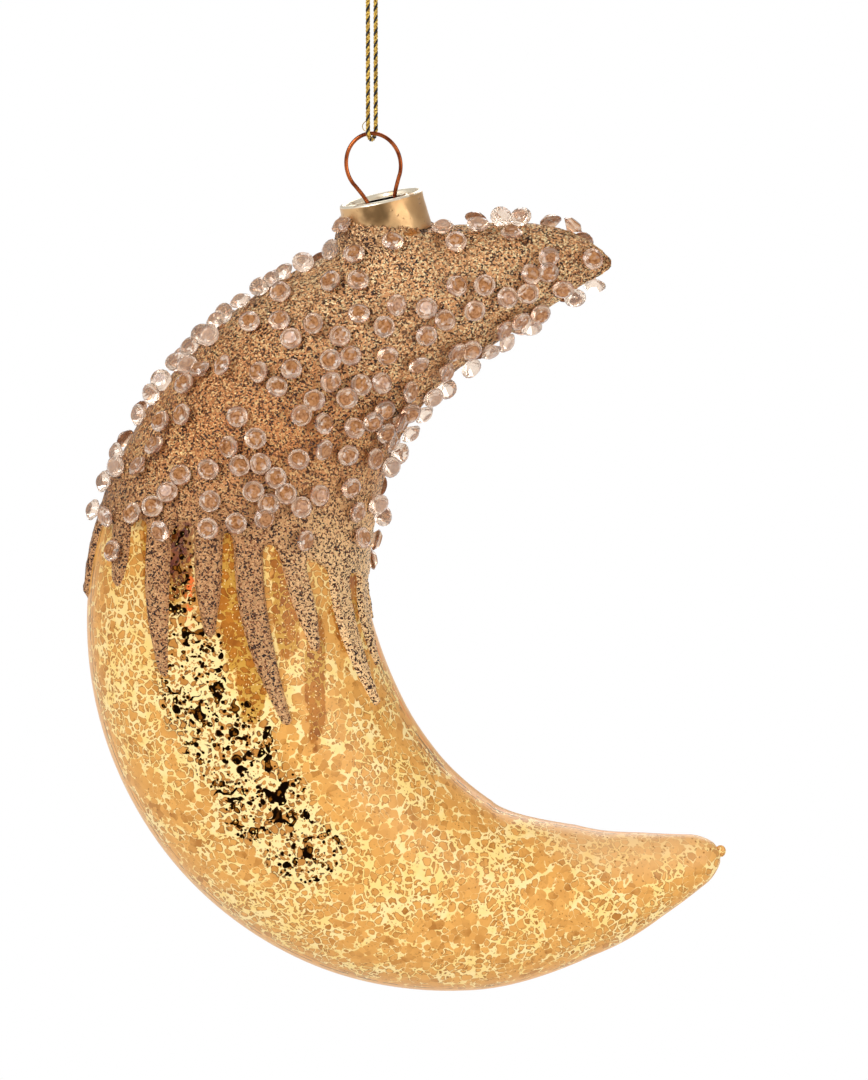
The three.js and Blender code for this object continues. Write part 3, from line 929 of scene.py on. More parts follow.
@dataclass(frozen=True)
class Glitter:
    """Fine champagne glitter in clear resin."""

    dark: Colour = paint(40, 14, 4)
    brown: Colour = paint(120, 66, 28)
    mid: Colour = paint(216, 156, 102)
    light: Colour = paint(255, 226, 172)
    taupe: Colour = paint(188, 138, 92)
    chalk: Colour = paint(255, 212, 154)
    resin: Colour = paint(176, 108, 40)
    wash: Colour = paint(240, 222, 200)
    flakes_per_metre: float = 3900
    # The painted shade under the cap, the washed middle, the resin that ran out and the painted shadow in
    # the gap beside it
    shade_patch: Patch = (-2.5, -51.3, 8.0, 3.0)
    deep_shade_patch: Patch = (-0.5, -50.9, 4.2, 1.2)
    wash_patch: Patch = (-21.0, -77.0, 20.0, 16.0)
    resin_patch: Patch = (6.9, -49.5, 1.6, 0.6)
    gap_shadow_patch: Patch = (8.9, -48.9, 1.2, 1.0)

    def mixed(self) -> Material:
        """Mixes the glitter: flakes that each have a tone and lie at their own angle.

        Returns:
            The finish.
        """
        shader = Shader("glitter")
        flakes = shader.cells(self.flakes_per_metre, shader.moved(0.0002, 1500))
        lot = flakes.drawn.axis("X")
        tone = shader.ramp(lot, [(0.0, self.dark), (0.24, self.dark), (0.3, self.brown),
                                 (0.4, self.mid), (0.72, self.mid), (0.84, self.light)])
        tone = shader.mix(shader.noise(90, 3).spread(0.35, 0.7) * 0.2, tone, self.mid)
        tone = self.shaded(shader, tone, lot)
        tone = self.lower(shader, tone, lot)
        torn = shader.moved(0.0008, 900)
        # Resin that ran out at the cap's foot, and a painted shadow in the gap beside it
        tone = shader.layered(tone, (shader.near(self.resin_patch, torn), self.resin),
                              (shader.near(self.gap_shadow_patch, torn), self.dark))
        outward = shader.take("ShaderNodeNewGeometry", "Normal", {})
        lean = shader.vector("ADD", outward, shader.scattered(flakes.drawn, 0.9))
        grain = shader.bump(flakes.away, 0.6, 0.0002, shader.vector("NORMALIZE", lean))
        return shader.finished(Base_Color=tone, Metallic=0.35, Roughness=0.36, Normal=grain)

    def shaded(self, shader: Shader, tone: Signal, lot: Signal) -> Signal:
        """Darkens most flakes under the edge of the cap.

        Args:
            shader: The material.
            tone: The glitter so far.
            lot: What each flake has drawn.

        Returns:
            The glitter, dark under the cap.
        """
        shade = (shader.near(self.shade_patch) * 0.7).most(shader.near(self.deep_shade_patch))
        shade = shade * shader.noise(500, 2).spread(0.4, 0.6, 0.5, 0.95)
        return shader.mix(shade, tone, shader.mix(lot.spread(0.6, 0.75), self.dark, self.mid))

    def lower(self, shader: Shader, tone: Signal, lot: Signal) -> Signal:
        """Turns the middle and the drips browner, and the drips greyer to the left.

        Args:
            shader: The material.
            tone: The glitter so far.
            lot: What each flake has drawn.

        Returns:
            The glitter, browner and greyer below.
        """
        x, z = shader.place.axis("X"), shader.place.axis("Z")
        tone = shader.mix(z.spread(-0.088, -0.062, 1.0, 0.0), tone, self.wash, "MULTIPLY")
        tone = shader.mix(shader.near(self.wash_patch) * 0.6, tone, self.wash, "MULTIPLY")
        low = (z + x * 0.12).spread(-0.108, -0.086, 1.0, 0.0)
        taupe = shader.mix(x.spread(-0.022, -0.002), self.taupe, self.chalk)
        greyed = shader.layered(self.dark, (lot.spread(0.2, 0.26), self.brown),
                                (lot.spread(0.32, 0.4), taupe))
        return shader.mix(low * 0.8, tone, greyed)


@dataclass(frozen=True)
class CutStone:
    """Clear brilliants that sit in amber resin."""

    heart: Colour = paint(132, 78, 36)
    warm: Colour = paint(190, 134, 84)
    # Painted shadow ring round the heart
    shadow: Colour = paint(128, 78, 44)
    # The crown's pale tone, a painted reflection of the white surround
    crown: Colour = paint(228, 186, 150)
    # The painted highlight of the crown's bright ring, of the small points and of the stones at the side
    painted_highlight: Colour = paint(255, 240, 224)
    girdle: Colour = paint(176, 122, 96)

    def mixed(self) -> Material:
        """Mixes the stone: an amber heart under the table in a painted shadow ring, and a clear crown round
        it, pale with a painted reflection, a painted bright ring and small painted highlights.

        Its own map is the stone seen from above, with the middle at 0.5.

        Returns:
            The finish.
        """
        shader = Shader("cut_stone")
        away = shader.vector("DISTANCE", shader.unwrapped, (0.5, 0.5, 0.0), 1)
        girth = away * 2.0 + shader.noise(700, 2).spread(0.2, 0.8, -0.08, 0.08)
        cloudy = shader.noise(1900, 3).spread(0.35, 0.65)
        arcs = shader.math("SINE", girth * 19.0).spread(0.1, 0.95, 0.0, 0.5)
        # Painted shadow round the heart, then the crown pale with a painted reflection and a bright painted
        # ring
        painted_crown_light = shader.ramp(girth, [(0.58, self.shadow), (0.7, self.crown), (0.79, self.crown),
                                    (0.86, self.painted_highlight), (0.92, self.crown), (1.0, self.girdle)])
        # Small painted highlights, fewer on the heart
        painted_glints = shader.noise(1000, 2, shader.moved(0.0006, 700)).spread(0.55, 0.62)
        painted_glints = painted_glints * girth.spread(0.35, 0.7, 0.2, 0.9)
        # Stones at the side of the front view get a painted pale highlight and more see-through
        free = shader.attribute("clear")
        tone = shader.layered(self.heart, (cloudy, self.warm), (arcs, self.warm),
                              (girth.spread(0.54, 0.64), painted_crown_light), (painted_glints, self.painted_highlight),
                              (free * 0.75, self.painted_highlight))
        clear = girth.spread(0.56, 0.74, 0.15, 0.8).most(free * 0.9)
        return shader.finished(Base_Color=tone, Roughness=0.04, IOR=1.45, Transmission_Weight=clear)


@dataclass(frozen=True)
class PaleFloor:
    """The pale floor, which the camera sees as white."""

    tone: Colour = paint(250, 250, 250)

    def mixed(self) -> Material:
        """Mixes the floor so that it stays white to the eye and in reflections.

        Returns:
            The finish.
        """
        shader = Shader("pale_floor")
        rays = [shader.take("ShaderNodeLightPath", f"Is {kind} Ray", {})
                for kind in ("Camera", "Glossy", "Transmission")]
        seen = rays[0].most(rays[1].most(rays[2]))
        plain = shader.take("ShaderNodeBsdfDiffuse", 0, {"Color": self.tone})
        white = shader.take("ShaderNodeEmission", 0, {"Color": (1, 1, 1, 1), "Strength": 1.0})
        both = shader.take("ShaderNodeMixShader", 0, {0: seen, 1: plain, 2: white})
        shader.feed(shader.tree.nodes["Material Output"].inputs["Surface"], both)
        return shader.material


# The object's places


@dataclass
class HangingLine:
    """The places down the leaning line of ring, cap and neck, in millimetres."""

    tilt: float = math.radians(12)
    loop_hang: float = 32.9
    wire: float = 0.7
    ring_half_width: float = 4.65
    ring_half_height: float = 5.35
    ring_to_cap: float = 5.8
    cap_height: float = 6.4
    seat: float = 0.3
    coat_outer: float = 1.0

    @property
    def axis(self) -> Vector:
        """The way up the line."""
        return Vector((-math.sin(self.tilt), 0, math.cos(self.tilt)))

    @property
    def across(self) -> Vector:
        """The way to the right, square to the line."""
        return Vector((math.cos(self.tilt), 0, math.sin(self.tilt)))

    def measure(self, point: Vector, base: Vector) -> tuple[float, float]:
        """Measures where a point stands against the line.

        Args:
            point: The point, in metres.
            base: A place on the line, in millimetres.

        Returns:
            Its height over the base and its distance from the line, in millimetres.
        """
        away = point / MM - base
        height = away.dot(self.axis)
        return height, (away - self.axis * height).length

    @property
    def wire_top(self) -> Vector:
        """The wire's centre under the cord."""
        return Vector((0, 0, -self.loop_hang - self.wire / 2))

    @property
    def ring_centre(self) -> Vector:
        """The middle of the oval ring.

        Returns:
            The middle, in millimetres.
        """
        wide, high = self.ring_half_width, self.ring_half_height
        reach = math.hypot(wide * self.across.z, high * self.axis.z)
        top = self.across * (wide**2 * self.across.z / reach) + self.axis * (high**2 * self.axis.z / reach)
        return self.wire_top - top

    @property
    def cap_top(self) -> Vector:
        """The middle of the cap's top edge."""
        return self.ring_centre - self.axis * self.ring_to_cap

    @property
    def neck_foot(self) -> Vector:
        """Where the neck leaves the crescent."""
        return self.cap_top - self.axis * (self.cap_height + self.seat + self.coat_outer)


@dataclass
class Crescent:
    """The blown form that the glass and its coat follow, in millimetres.

    A station is the centre line's x and z from the foot of the neck, and the half width there.
    """

    line: HangingLine
    stations: tuple[tuple[float, float, float], ...] = (
        (37.1, -3.4, 0.7), (28.9, -3.3, 5.3), (16.8, -6.3, 9.2), (-0.4, -13.5, 13.7),
        (-14.6, -25.6, 17.9), (-23.9, -41.9, 21.6), (-28.1, -60.2, 24.0), (-25.3, -78.6, 25.1),
        (-16.4, -95.1, 24.2), (-2.4, -107.3, 21.3), (15.0, -113.6, 16.7), (33.4, -112.7, 11.5),
        (45.5, -109.7, 7.4), (57.1, -105.8, 3.0),
    )
    body_depth: float = 43.0
    upper_tip_round: float = 1.2
    lower_tip_round: float = 4.0
    neck_along: float = 33.4
    samples: int = 2600
    origin: np.ndarray = field(default_factory=lambda: np.zeros(3))

    def __post_init__(self) -> None:
        """Runs the line through its stations and measures it."""
        stations = np.array(self.stations)
        last = len(stations) - 1
        t = np.linspace(0, last, self.samples)
        i = np.minimum(t.astype(int), last - 1)
        w = (t - i)[:, None]
        before, here = stations[np.maximum(i - 1, 0)], stations[i]
        there, after = stations[i + 1], stations[np.minimum(i + 2, last)]
        lead, trail = (there - before) / 2, (after - here) / 2
        curve = ((2 * here - 2 * there + lead + trail) * w**3
                 + (3 * there - 3 * here - 2 * lead - trail) * w**2 + lead * w + here)
        self.centres, self.halves = curve[:, :2], curve[:, 2]
        slope = np.gradient(self.centres, axis=0)
        self.tangents = slope / np.linalg.norm(slope, axis=1)[:, None]
        step = np.linalg.norm(np.diff(self.centres, axis=0), axis=1)
        self.travel = np.concatenate(([0.0], np.cumsum(step)))
        self.length = float(self.travel[-1])
        widest = float(np.max(stations[:, 2]))
        self.depth_share = self.body_depth / (2 * widest)
        neck = self.skin(np.array([self.neck_along]), np.array([-math.pi / 2]), 0.0)[0]
        self.origin = np.array(self.line.neck_foot) - neck

    def section(self, along: np.ndarray) -> tuple[np.ndarray, np.ndarray, np.ndarray]:
        """Reads the centre line.

        Args:
            along: Distances from the upper tip.

        Returns:
            The centres, the directions and the half widths there.
        """
        def read(values: np.ndarray) -> np.ndarray:
            """One measured value along the line."""
            return np.interp(along, self.travel, values)

        centre = np.stack([read(self.centres[:, 0]), read(self.centres[:, 1])], axis=1)
        tangent = np.stack([read(self.tangents[:, 0]), read(self.tangents[:, 1])], axis=1)
        return centre, tangent, read(self.halves)

    def skin(self, along: np.ndarray, angle: np.ndarray, offset: Union[float, np.ndarray]) -> np.ndarray:
        """Gives points of the surface or of one that lies outside it.

        Args:
            along: Distances from the upper tip.
            angle: Round the section: 0 at the front, 90 degrees on the hollow side.
            offset: How far outside the glass.

        Returns:
            The points, in millimetres in the row frame.
        """
        inside = np.clip(along, 0, self.length)
        centre, tangent, half = self.section(inside)
        beyond = along - inside

        def rounding(distance: np.ndarray, length: np.ndarray) -> np.ndarray:
            """How much of the width is left near a rounded end."""
            share = np.clip(distance / length, 0, 1)
            return np.sqrt(1 - (1 - share) ** 2)

        taper = np.minimum(rounding(along + offset, self.upper_tip_round + offset),
                           rounding(self.length + offset - along, self.lower_tip_round + offset))
        side = (half + offset) * taper * np.sin(angle)
        depth = (half * self.depth_share + offset) * taper
        return self.origin + np.stack([
            centre[:, 0] + beyond * tangent[:, 0] - side * tangent[:, 1],
            -depth * np.cos(angle),
            centre[:, 1] + beyond * tangent[:, 1] + side * tangent[:, 0],
        ], axis=1)

    @staticmethod
    def rows(start: float, end: float, share: np.ndarray) -> np.ndarray:
        """Distances along the line that crowd towards both ends."""
        crowd = share - 0.35 * np.sin(2 * math.pi * share) / (2 * math.pi)
        return start + (end - start) * crowd

    def from_front(self, x: float, z: float, sight: float, lift: float) -> tuple[float, float]:
        """Finds where a point seen from the front lies on the crescent.

        Args:
            x: The point's X, in millimetres.
            z: Its Z, if it lay at the middle of the moon's depth. The nearer it is to the eye,
                the lower it looks.
            sight: How far the eye looks down, in radians.
            lift: How far outside the glass the point lies.

        Returns:
            Its distance along the line and its angle round the section.
        """
        nearness = 0.0
        for _ in range(8):
            place = np.array([x, z + nearness * math.tan(sight)]) - self.origin[[0, 2]]
            gap = self.centres - place
            lengthwise = np.abs(np.sum(gap * self.tangents, axis=1))
            lengthwise += np.where(np.linalg.norm(gap, axis=1) > 1.6 * self.halves + 6, 1e3, 0)
            best = int(np.argmin(lengthwise))
            tangent, half = self.tangents[best], float(self.halves[best])
            side = float(tangent[1] * gap[best][0] - tangent[0] * gap[best][1])
            share = float(np.clip(side / (half + lift), -0.99, 0.99))
            nearness = (half * self.depth_share + lift) * math.sqrt(1 - share**2)
        return float(self.travel[best]), math.asin(share)

    def normal(self, along: float, angle: float, offset: float) -> tuple[Vector, Vector]:
        """Gives a point in metres and the way out of the surface there.

        Args:
            along: Distance from the upper tip.
            angle: Angle round the section.
            offset: How far outside the glass the point lies.

        Returns:
            The point and the way out.
        """
        small = 0.05
        alongs = np.array([along, along + small, along])
        angles = np.array([angle, angle, angle + small / 10])
        point, down, around = self.skin(alongs, angles, offset)
        out = Vector(down - point).cross(Vector(around - point)).normalized()
        return Vector(point) * MM, out


# Sub-assemblies


@dataclass
class StudioView:
    """The camera at the photograph's angle, the soft lights and the pale floor."""

    width_px: int = 868
    height_px: int = 1080
    px_per_mm: float = 5.8
    look_down: float = math.radians(8)
    aim_mm: tuple[float, float, float] = (10.66, 0.0, -103.7)
    distance: float = 2.0
    sensor: float = 36.0
    floor_z: float = -0.42
    dim: float = 0.45
    # The soft boxes: name, place and side in metres, and power in watts
    boxes: tuple[tuple[str, tuple[float, float, float], float, float], ...] = (
        ("key", (-0.55, -0.75, 0.35), 0.5, 6.4),
        ("fill", (0.75, -0.6, 0.0), 0.6, 3.4),
        ("back", (0.2, 0.7, 0.35), 0.6, 3.0),
    )

    @property
    def eye(self) -> Vector:
        """Where the camera stands, in metres."""
        away = Vector((0, -math.cos(self.look_down), math.sin(self.look_down)))
        return Vector(self.aim_mm) * MM + away * self.distance

    def on_middle_plane(self, px: tuple[int, int]) -> tuple[float, float]:
        """Turns a place in the picture into X and Z on the plane of the moon's middle, in mm.

        Args:
            px: The place in the picture.

        Returns:
            X and Z.
        """
        across = (px[0] - self.width_px / 2) / self.px_per_mm
        down = (px[1] - self.height_px / 2) / self.px_per_mm
        return self.aim_mm[0] + across, self.aim_mm[2] - down / math.cos(self.look_down)

    def place_camera(self) -> None:
        """Sets a long lens before the front, looking down a little."""
        data = bpy.data.cameras.new("camera")
        data.sensor_fit = "HORIZONTAL"
        data.sensor_width = self.sensor
        view_width = self.width_px / self.px_per_mm * MM
        data.lens = data.sensor_width * self.distance / view_width
        camera = linked("camera", data)
        camera.location = self.eye
        camera.rotation_euler = (math.pi / 2 - self.look_down, 0, 0)
        bpy.context.scene.camera = camera

    def light(self, name: str, place: tuple[float, float, float], size: float, watts: float) -> None:
        """Adds a soft box that faces the moon.

        Args:
            name: The lamp's name.
            place: Where it hangs, in metres.
            size: Its side, in metres.
            watts: Its power.
        """
        data = bpy.data.lights.new(name, "AREA")
        data.shape = "SQUARE"
        data.size = size
        data.energy = watts
        lamp = linked(name, data)
        lamp.location = place
        target = Vector(self.aim_mm) * MM
        lamp.rotation_euler = (target - lamp.location).to_track_quat("-Z", "Y").to_euler()

    def build(self) -> None:
        """Lights the scene, and lays the floor under the hanging moon."""
        for name, place, size, watts in self.boxes:
            self.light(name, place, size, watts)
        self.surround()
        deselect()
        bpy.ops.mesh.primitive_plane_add(size=60, location=(0, 0, self.floor_z))
        floor = named("floor")
        settle(floor)
        floor.data.materials.append(PaleFloor().mixed())
        bpy.context.scene.view_settings.view_transform = "Standard"

    def surround(self) -> None:
        """Puts white all round: full to the eye and through the stones, and dimmer as light."""
        world = bpy.data.worlds.new("studio")
        bpy.context.scene.world = world
        world.use_nodes = True
        sky = NodeTree(world.node_tree)
        sky.tree.nodes.clear()
        camera = sky.take("ShaderNodeLightPath", "Is Camera Ray", {})
        through = sky.take("ShaderNodeLightPath", "Is Transmission Ray", {})
        level = camera.most(through).spread(0.0, 1.0, self.dim, 1.0)
        glow = sky.take("ShaderNodeBackground", 0, {"Color": (1, 1, 1, 1), "Strength": level})
        sky.node("ShaderNodeOutputWorld", {"Surface": glow})


@dataclass
class CordLoop:
    """The taut loop of twisted metallic yarn, with its knot."""

    line: HangingLine
    diameter: float = 0.8
    bend: float = 1.75
    turn: float = math.radians(68)
    knot_below_hook: float = 7.6
    knot_length: float = 2.8
    knot_diameter: float = 2.3
    yarn_diameter: float = 0.4
    yarn_reach: float = 0.2
    twist_pitch: float = 2.1
    fibre_radius: float = 0.07
    wraps: float = 2.25
    tail_share: float = 0.9
    gold: MetallicYarn = MetallicYarn("gold_yarn", paint(250, 210, 96), paint(128, 84, 18), 0.5)
    black: MetallicYarn = MetallicYarn("black_yarn", paint(46, 36, 20), paint(14, 10, 6), 0.3)

    @property
    def out(self) -> Vector:
        """The way out of the loop's plane."""
        return Vector((-math.sin(self.turn), math.cos(self.turn), 0))

    def in_loop(self, side: float, height: float) -> Vector:
        """A point in the loop's plane, in millimetres."""
        return Vector((side * math.cos(self.turn), side * math.sin(self.turn), height))

    def route(self) -> list[Vector]:
        """The centre line from the knot's foot, round the ring and the hook, to its top.

        Returns:
            Points in millimetres.
        """
        top = self.diameter / 2 - self.bend
        bottom = (self.line.wire_top.z - self.line.wire / 2 - self.line.seat
                  - self.diameter / 2 + self.bend)
        knot_top = -self.knot_below_hook + self.knot_length / 2 + self.line.seat
        knot_foot = -self.knot_below_hook - self.knot_length / 2 - self.line.seat
        points = [self.in_loop(-self.bend, z) for z in np.linspace(knot_foot, bottom, 30)]
        points += self.arc(bottom, math.pi, 14)
        points += [self.in_loop(self.bend, z) for z in np.linspace(bottom, top, 42)]
        points += self.arc(top, 0, 14)
        points += [self.in_loop(-self.bend, z) for z in np.linspace(top, knot_top, 8)]
        return points

    def arc(self, centre: float, start: float, count: int) -> list[Vector]:
        """Points of one bight, without its ends."""
        angles = [start + math.pi * i / (count + 1) for i in range(1, count + 1)]
        return [self.in_loop(self.bend * math.cos(a), centre + self.bend * math.sin(a)) for a in angles]

    def yarn(self, route: Sequence[Vector], phase: float, name: str) -> Piece:
        """Winds one yarn round the cord's line.

        Args:
            route: The cord's centre line in millimetres.
            phase: Where the yarn starts, in radians.
            name: The yarn's name.

        Returns:
            The yarn as a mesh.
        """
        travel = 0.0
        points = []
        out = self.out
        dense = refined(route, 3)
        for i, point in enumerate(dense):
            after = dense[min(i + 1, len(dense) - 1)]
            before = dense[max(i - 1, 0)]
            ahead = (after - before).normalized()
            travel += (point - dense[i - 1]).length if i else 0.0
            side = ahead.cross(out).normalized()
            a = phase + math.tau * travel / self.twist_pitch
            points.append((point + (out * math.cos(a) + side * math.sin(a)) * self.yarn_reach) * MM)
        return swept(name, points, self.yarn_diameter / 2 * MM, 2)

    def build(self) -> None:
        route = self.route()
        gold, black = self.gold.mixed(), self.black.mixed()
        strands = [self.yarn(route, math.tau * i / 3, f"yarn_{i}") for i in range(3)]
        strands.append(self.fibre())
        for strand, finish in zip(strands, (gold, gold, black, gold)):
            strand.data.materials.append(finish)
        cord = join(strands, "cord")
        smooth(cord)
        knot = self.tie_knot()
        path = [point * MM for point in route]
        length = sum((b - a).length for a, b in zip(path, path[1:]))
        hand_in(cord, Body.CORD, Slot.CORD, gold, "cord_loop")
        hand_in(knot, Body.CORD, Slot.CORD, gold, "cord_knot")
        LOG.info("cord: %.1f mm of yarn in the loop", length / MM)

    def fibre(self) -> Piece:
        """A filament that has slipped out of the yarn in a small loop over the ring.

        Returns:
            The filament.
        """
        side, up = self.line.across, Vector((0, 0, 1))
        foot = self.in_loop(-self.bend, 0).xz[0]
        places = ((0.1, 0.5), (-0.7, 0.9), (-1.0, 1.7), (-0.6, 2.3), (0.0, 2.5))
        top = self.line.wire_top.z
        points = [(side * (foot + x) + up * (top + z) + Vector((0, -0.9, 0))) * MM for x, z in places]
        return swept("fibre", refined(points, 6), self.fibre_radius * MM, 2)

    def tie_knot(self) -> Piece:
        """Ties a tight overhand knot: three wraps and two cut tails.

        Returns:
            The knot.
        """
        centre = self.in_loop(-self.bend, -self.knot_below_hook)
        reach = (self.knot_diameter - self.diameter) / 2
        end = (self.knot_length - self.diameter) / 2
        out, side = self.out, self.in_loop(1, 0)
        wraps = []
        for i in range(61):
            t = i / 60
            a = math.tau * self.wraps * t
            swell = reach * (0.72 + 0.28 * math.sin(math.pi * t))
            height = end * (1 - 2 * t)
            wraps.append((centre + (out * math.cos(a) + side * math.sin(a)) * swell
                          + Vector((0, 0, height))) * MM)
        pieces = [swept("knot_wrap", refined(wraps, 2), self.diameter / 2 * MM, 3)]
        core = [(centre + Vector((0, 0, h))) * MM for h in (-end - 0.35, -end / 2, 0, end / 2, end + 0.35)]
        pieces.append(swept("knot_core", core, self.diameter / 2 * MM, 3))
        for name, rise in (("knot_tail_up", 0.5), ("knot_tail_down", -0.45)):
            tail = [(centre + out * -s + Vector((0, 0, rise * s))) * MM for s in (0.4, 1.0, 1.6, 2.1)]
            pieces.append(swept(name, tail, self.diameter / 2 * MM * self.tail_share, 3))
        knot = join(pieces, "knot")
        smooth(knot)
        return knot


def refined(points: Sequence[Vector], parts: int) -> list[Vector]:
    """Puts more points between the points of a line, so that it runs through them smoothly.

    Args:
        points: The line's points.
        parts: How many parts each stretch is cut into.

    Returns:
        The dense line.
    """
    dense = []
    for i, (a, b) in enumerate(zip(points, points[1:])):
        before, after = points[max(i - 1, 0)], points[min(i + 2, len(points) - 1)]
        lead, trail = (b - before) / 2, (after - a) / 2
        for step in range(parts):
            t = step / parts
            dense.append(a * (2 * t**3 - 3 * t**2 + 1) + lead * (t**3 - 2 * t**2 + t)
                         + b * (3 * t**2 - 2 * t**3) + trail * (t**3 - t**2))
    return [*dense, points[-1]]


@dataclass
class HangerWire:
    """The sprung wire: an oval ring that closes into two legs."""

    line: HangingLine
    leg_spacing: float = 4.7
    leg_length: float = 17.0
    leg_ease: float = 2.0
    leg_spread: float = 4.5
    foot_spread: float = 6.0
    web_recess: float = 0.8

    def half_route(self) -> list[tuple[float, float]]:
        """The right half of the wire: its distance from the axis and its height, downwards.

        Returns:
            Distances from the axis and heights over the ring's middle, in millimetres.
        """
        line = self.line
        half = []
        for degrees in range(0, 127, 7):
            a = math.radians(degrees)
            half.append((line.ring_half_width * math.sin(a), line.ring_half_height * math.cos(a)))
        web = -(line.ring_to_cap + self.web_recess)
        leg, bend, soft = self.leg_spacing / 2, self.leg_length - self.leg_ease, self.leg_ease / 5
        return half + [
            (leg + soft, -line.ring_to_cap + 1.5 * soft), (leg, web),
            (leg + soft / 4, web - self.leg_ease),
            ((leg + self.leg_spread) / 2, web - (bend + self.leg_ease) / 2),
            (self.leg_spread, web - bend),
            ((self.leg_spread + self.foot_spread) / 2, web - self.leg_length + soft),
            (self.foot_spread, web - self.leg_length),
        ]

    def build(self) -> None:
        """Bends the wire and polishes it."""
        half = self.half_route()
        both = [(-side, height) for side, height in reversed(half[1:])] + half
        line = self.line
        points = [(line.ring_centre + line.across * side + line.axis * height) * MM
                  for side, height in both]
        wire = swept("wire", refined(points, 4), line.wire / 2 * MM, 5)
        smooth(wire, 60)
        hand_in(wire, Body.HANGER, Slot.WIRE, CopperWire().mixed(), "hanger_wire")
        LOG.info("wire: %d points of route", len(points))


@dataclass
class StampedCap:
    """The drawn cap with its rolled edge, recessed web and lipped slot."""

    line: HangingLine
    top_radius: float = 7.25
    bottom_radius: float = 7.7
    sheet: float = 0.4
    web_recess: float = 0.8
    roll: float = 0.45
    slot_length: float = 8.6
    slot_width: float = 1.5
    slot_lip: float = 0.35
    lip_slope: float = 0.15
    soft_dent: float = 0.12
    dent_size: float = 3.2
    dent_top: float = 0.5
    dent_foot: float = 6.3

    def profile(self) -> list[tuple[float, float]]:
        """The cap's section, from under its web round its skirt to the web's top.

        Returns:
            Radius and height pairs in millimetres.
        """
        top, bottom, roll, sheet = self.top_radius, self.bottom_radius, self.roll, self.sheet
        under = self.web_recess + sheet
        height = self.line.cap_height
        edge = [(top - roll + roll * math.cos(a), -roll + roll * math.sin(a))
                for a in np.linspace(0, math.pi, 9)]
        foot = [(bottom - sheet / 2 + sheet / 2 * math.cos(a), -height + sheet / 2 * math.sin(a))
                for a in np.linspace(-math.pi, 0, 7)]
        skirt = [(top + (bottom - top) * t**1.6, -roll - (height - roll) * t)
                 for t in np.linspace(0.9, 0.08, 9)]
        return ([(0, -under), (top - 2 * roll, -under), (top - sheet, -under - roll)]
                + foot + skirt + edge + [(top - 2.2 * roll, -self.web_recess * 0.8),
                                         (top - 3 * roll, -self.web_recess), (0, -self.web_recess)])

    def build(self) -> None:
        """Spins the cap, presses its slot and dents its skirt a little."""
        line = self.line
        base = line.cap_top * MM
        cap = turned("cap_shell", self.profile(), base, line.axis)
        lip = self.raised_lip(base)
        cutter = self.block("slot_cutter", self.slot_length, self.slot_width, -3.0, 1.5, base)
        cap = self.combined(cap, lip, "UNION")
        cap = self.combined(cap, cutter, "DIFFERENCE")
        cap.name = "stamped_cap"
        self.dent(cap)
        # Marks the web and the top of the rolled edge, where the finish paints a highlight
        upper = cap.data.attributes.new("upper", "FLOAT", "POINT")
        for vertex in cap.data.vertices:
            height, away = line.measure(vertex.co, line.cap_top)
            on_web = away < self.top_radius - 0.3 * self.roll and height > -self.web_recess - 0.1
            upper.data[vertex.index].value = float(on_web or height > -0.8 * self.roll)
        smooth(cap, 35)
        hand_in(cap, Body.CAP, Slot.CAP, StampedGold().mixed(), "cap")
        LOG.info("cap: %d faces", len(cap.data.polygons))

    def block(
        self, name: str, length: float, width: float, low: float, high: float, base: Vector
    ) -> Piece:
        """Adds a block across the cap, with its heights from the cap's top.

        Args:
            name: Its name.
            length: Along the slot, in millimetres.
            width: Across the slot.
            low: The height of its foot.
            high: The height of its top.
            base: The middle of the cap's top, in metres.

        Returns:
            The block.
        """
        deselect()
        bpy.ops.mesh.primitive_cube_add(size=1, location=(0, 0, (low + high) / 2 * MM))
        piece = named(name)
        piece.scale = (length * MM, width * MM, (high - low) * MM)
        settle(piece)
        piece.matrix_world = Matrix.Translation(base) @ Matrix.Rotation(-self.line.tilt, 4, "Y")
        settle(piece)
        return piece

    def raised_lip(self, base: Vector) -> Piece:
        """The pressed-up lip round the slot, with soft edges, higher at the back.

        Args:
            base: The middle of the cap's top, in metres.

        Returns:
            The lip.
        """
        lip = self.block("slot_lip", self.slot_length + 2 * self.slot_lip,
                         self.slot_width + 2 * self.slot_lip, -self.web_recess - self.sheet / 2,
                         -self.web_recess + self.slot_lip, base)
        bevel = lip.modifiers.new("soft", "BEVEL")
        bevel.width = 0.18 * MM
        bevel.segments = 3
        apply_all(lip)
        for vertex in lip.data.vertices:
            vertex.co.z += vertex.co.y * self.lip_slope
        return lip

    @staticmethod
    def combined(piece: Piece, other: Piece, operation: str) -> Piece:
        """Joins another solid to a piece, or cuts it out, and takes the other away.

        Args:
            piece: The piece.
            other: The other solid.
            operation: Blender's name of what is done.

        Returns:
            The piece.
        """
        boolean = piece.modifiers.new("combine", "BOOLEAN")
        boolean.object = other
        boolean.operation = operation
        boolean.solver = "EXACT"
        apply_all(piece)
        bpy.data.objects.remove(other)
        return piece

    def dent(self, cap: Piece) -> None:
        """Pushes the thin skirt in and out in soft dents.

        Args:
            cap: The cap.
        """
        texture = bpy.data.textures.new("soft_dents", "CLOUDS")
        texture.noise_scale = self.dent_size * MM
        group = cap.vertex_groups.new(name="skirt")
        for vertex in cap.data.vertices:
            height, _ = self.line.measure(vertex.co, self.line.cap_top)
            share = clamped(-height - self.dent_top) * clamped((height + self.dent_foot) / 0.8)
            group.add([vertex.index], share, "REPLACE")
        push = cap.modifiers.new("dents", "DISPLACE")
        push.texture = texture
        push.texture_coords = "LOCAL"
        push.strength = self.soft_dent * 2 * MM
        push.vertex_group = "skirt"
        apply_all(cap)


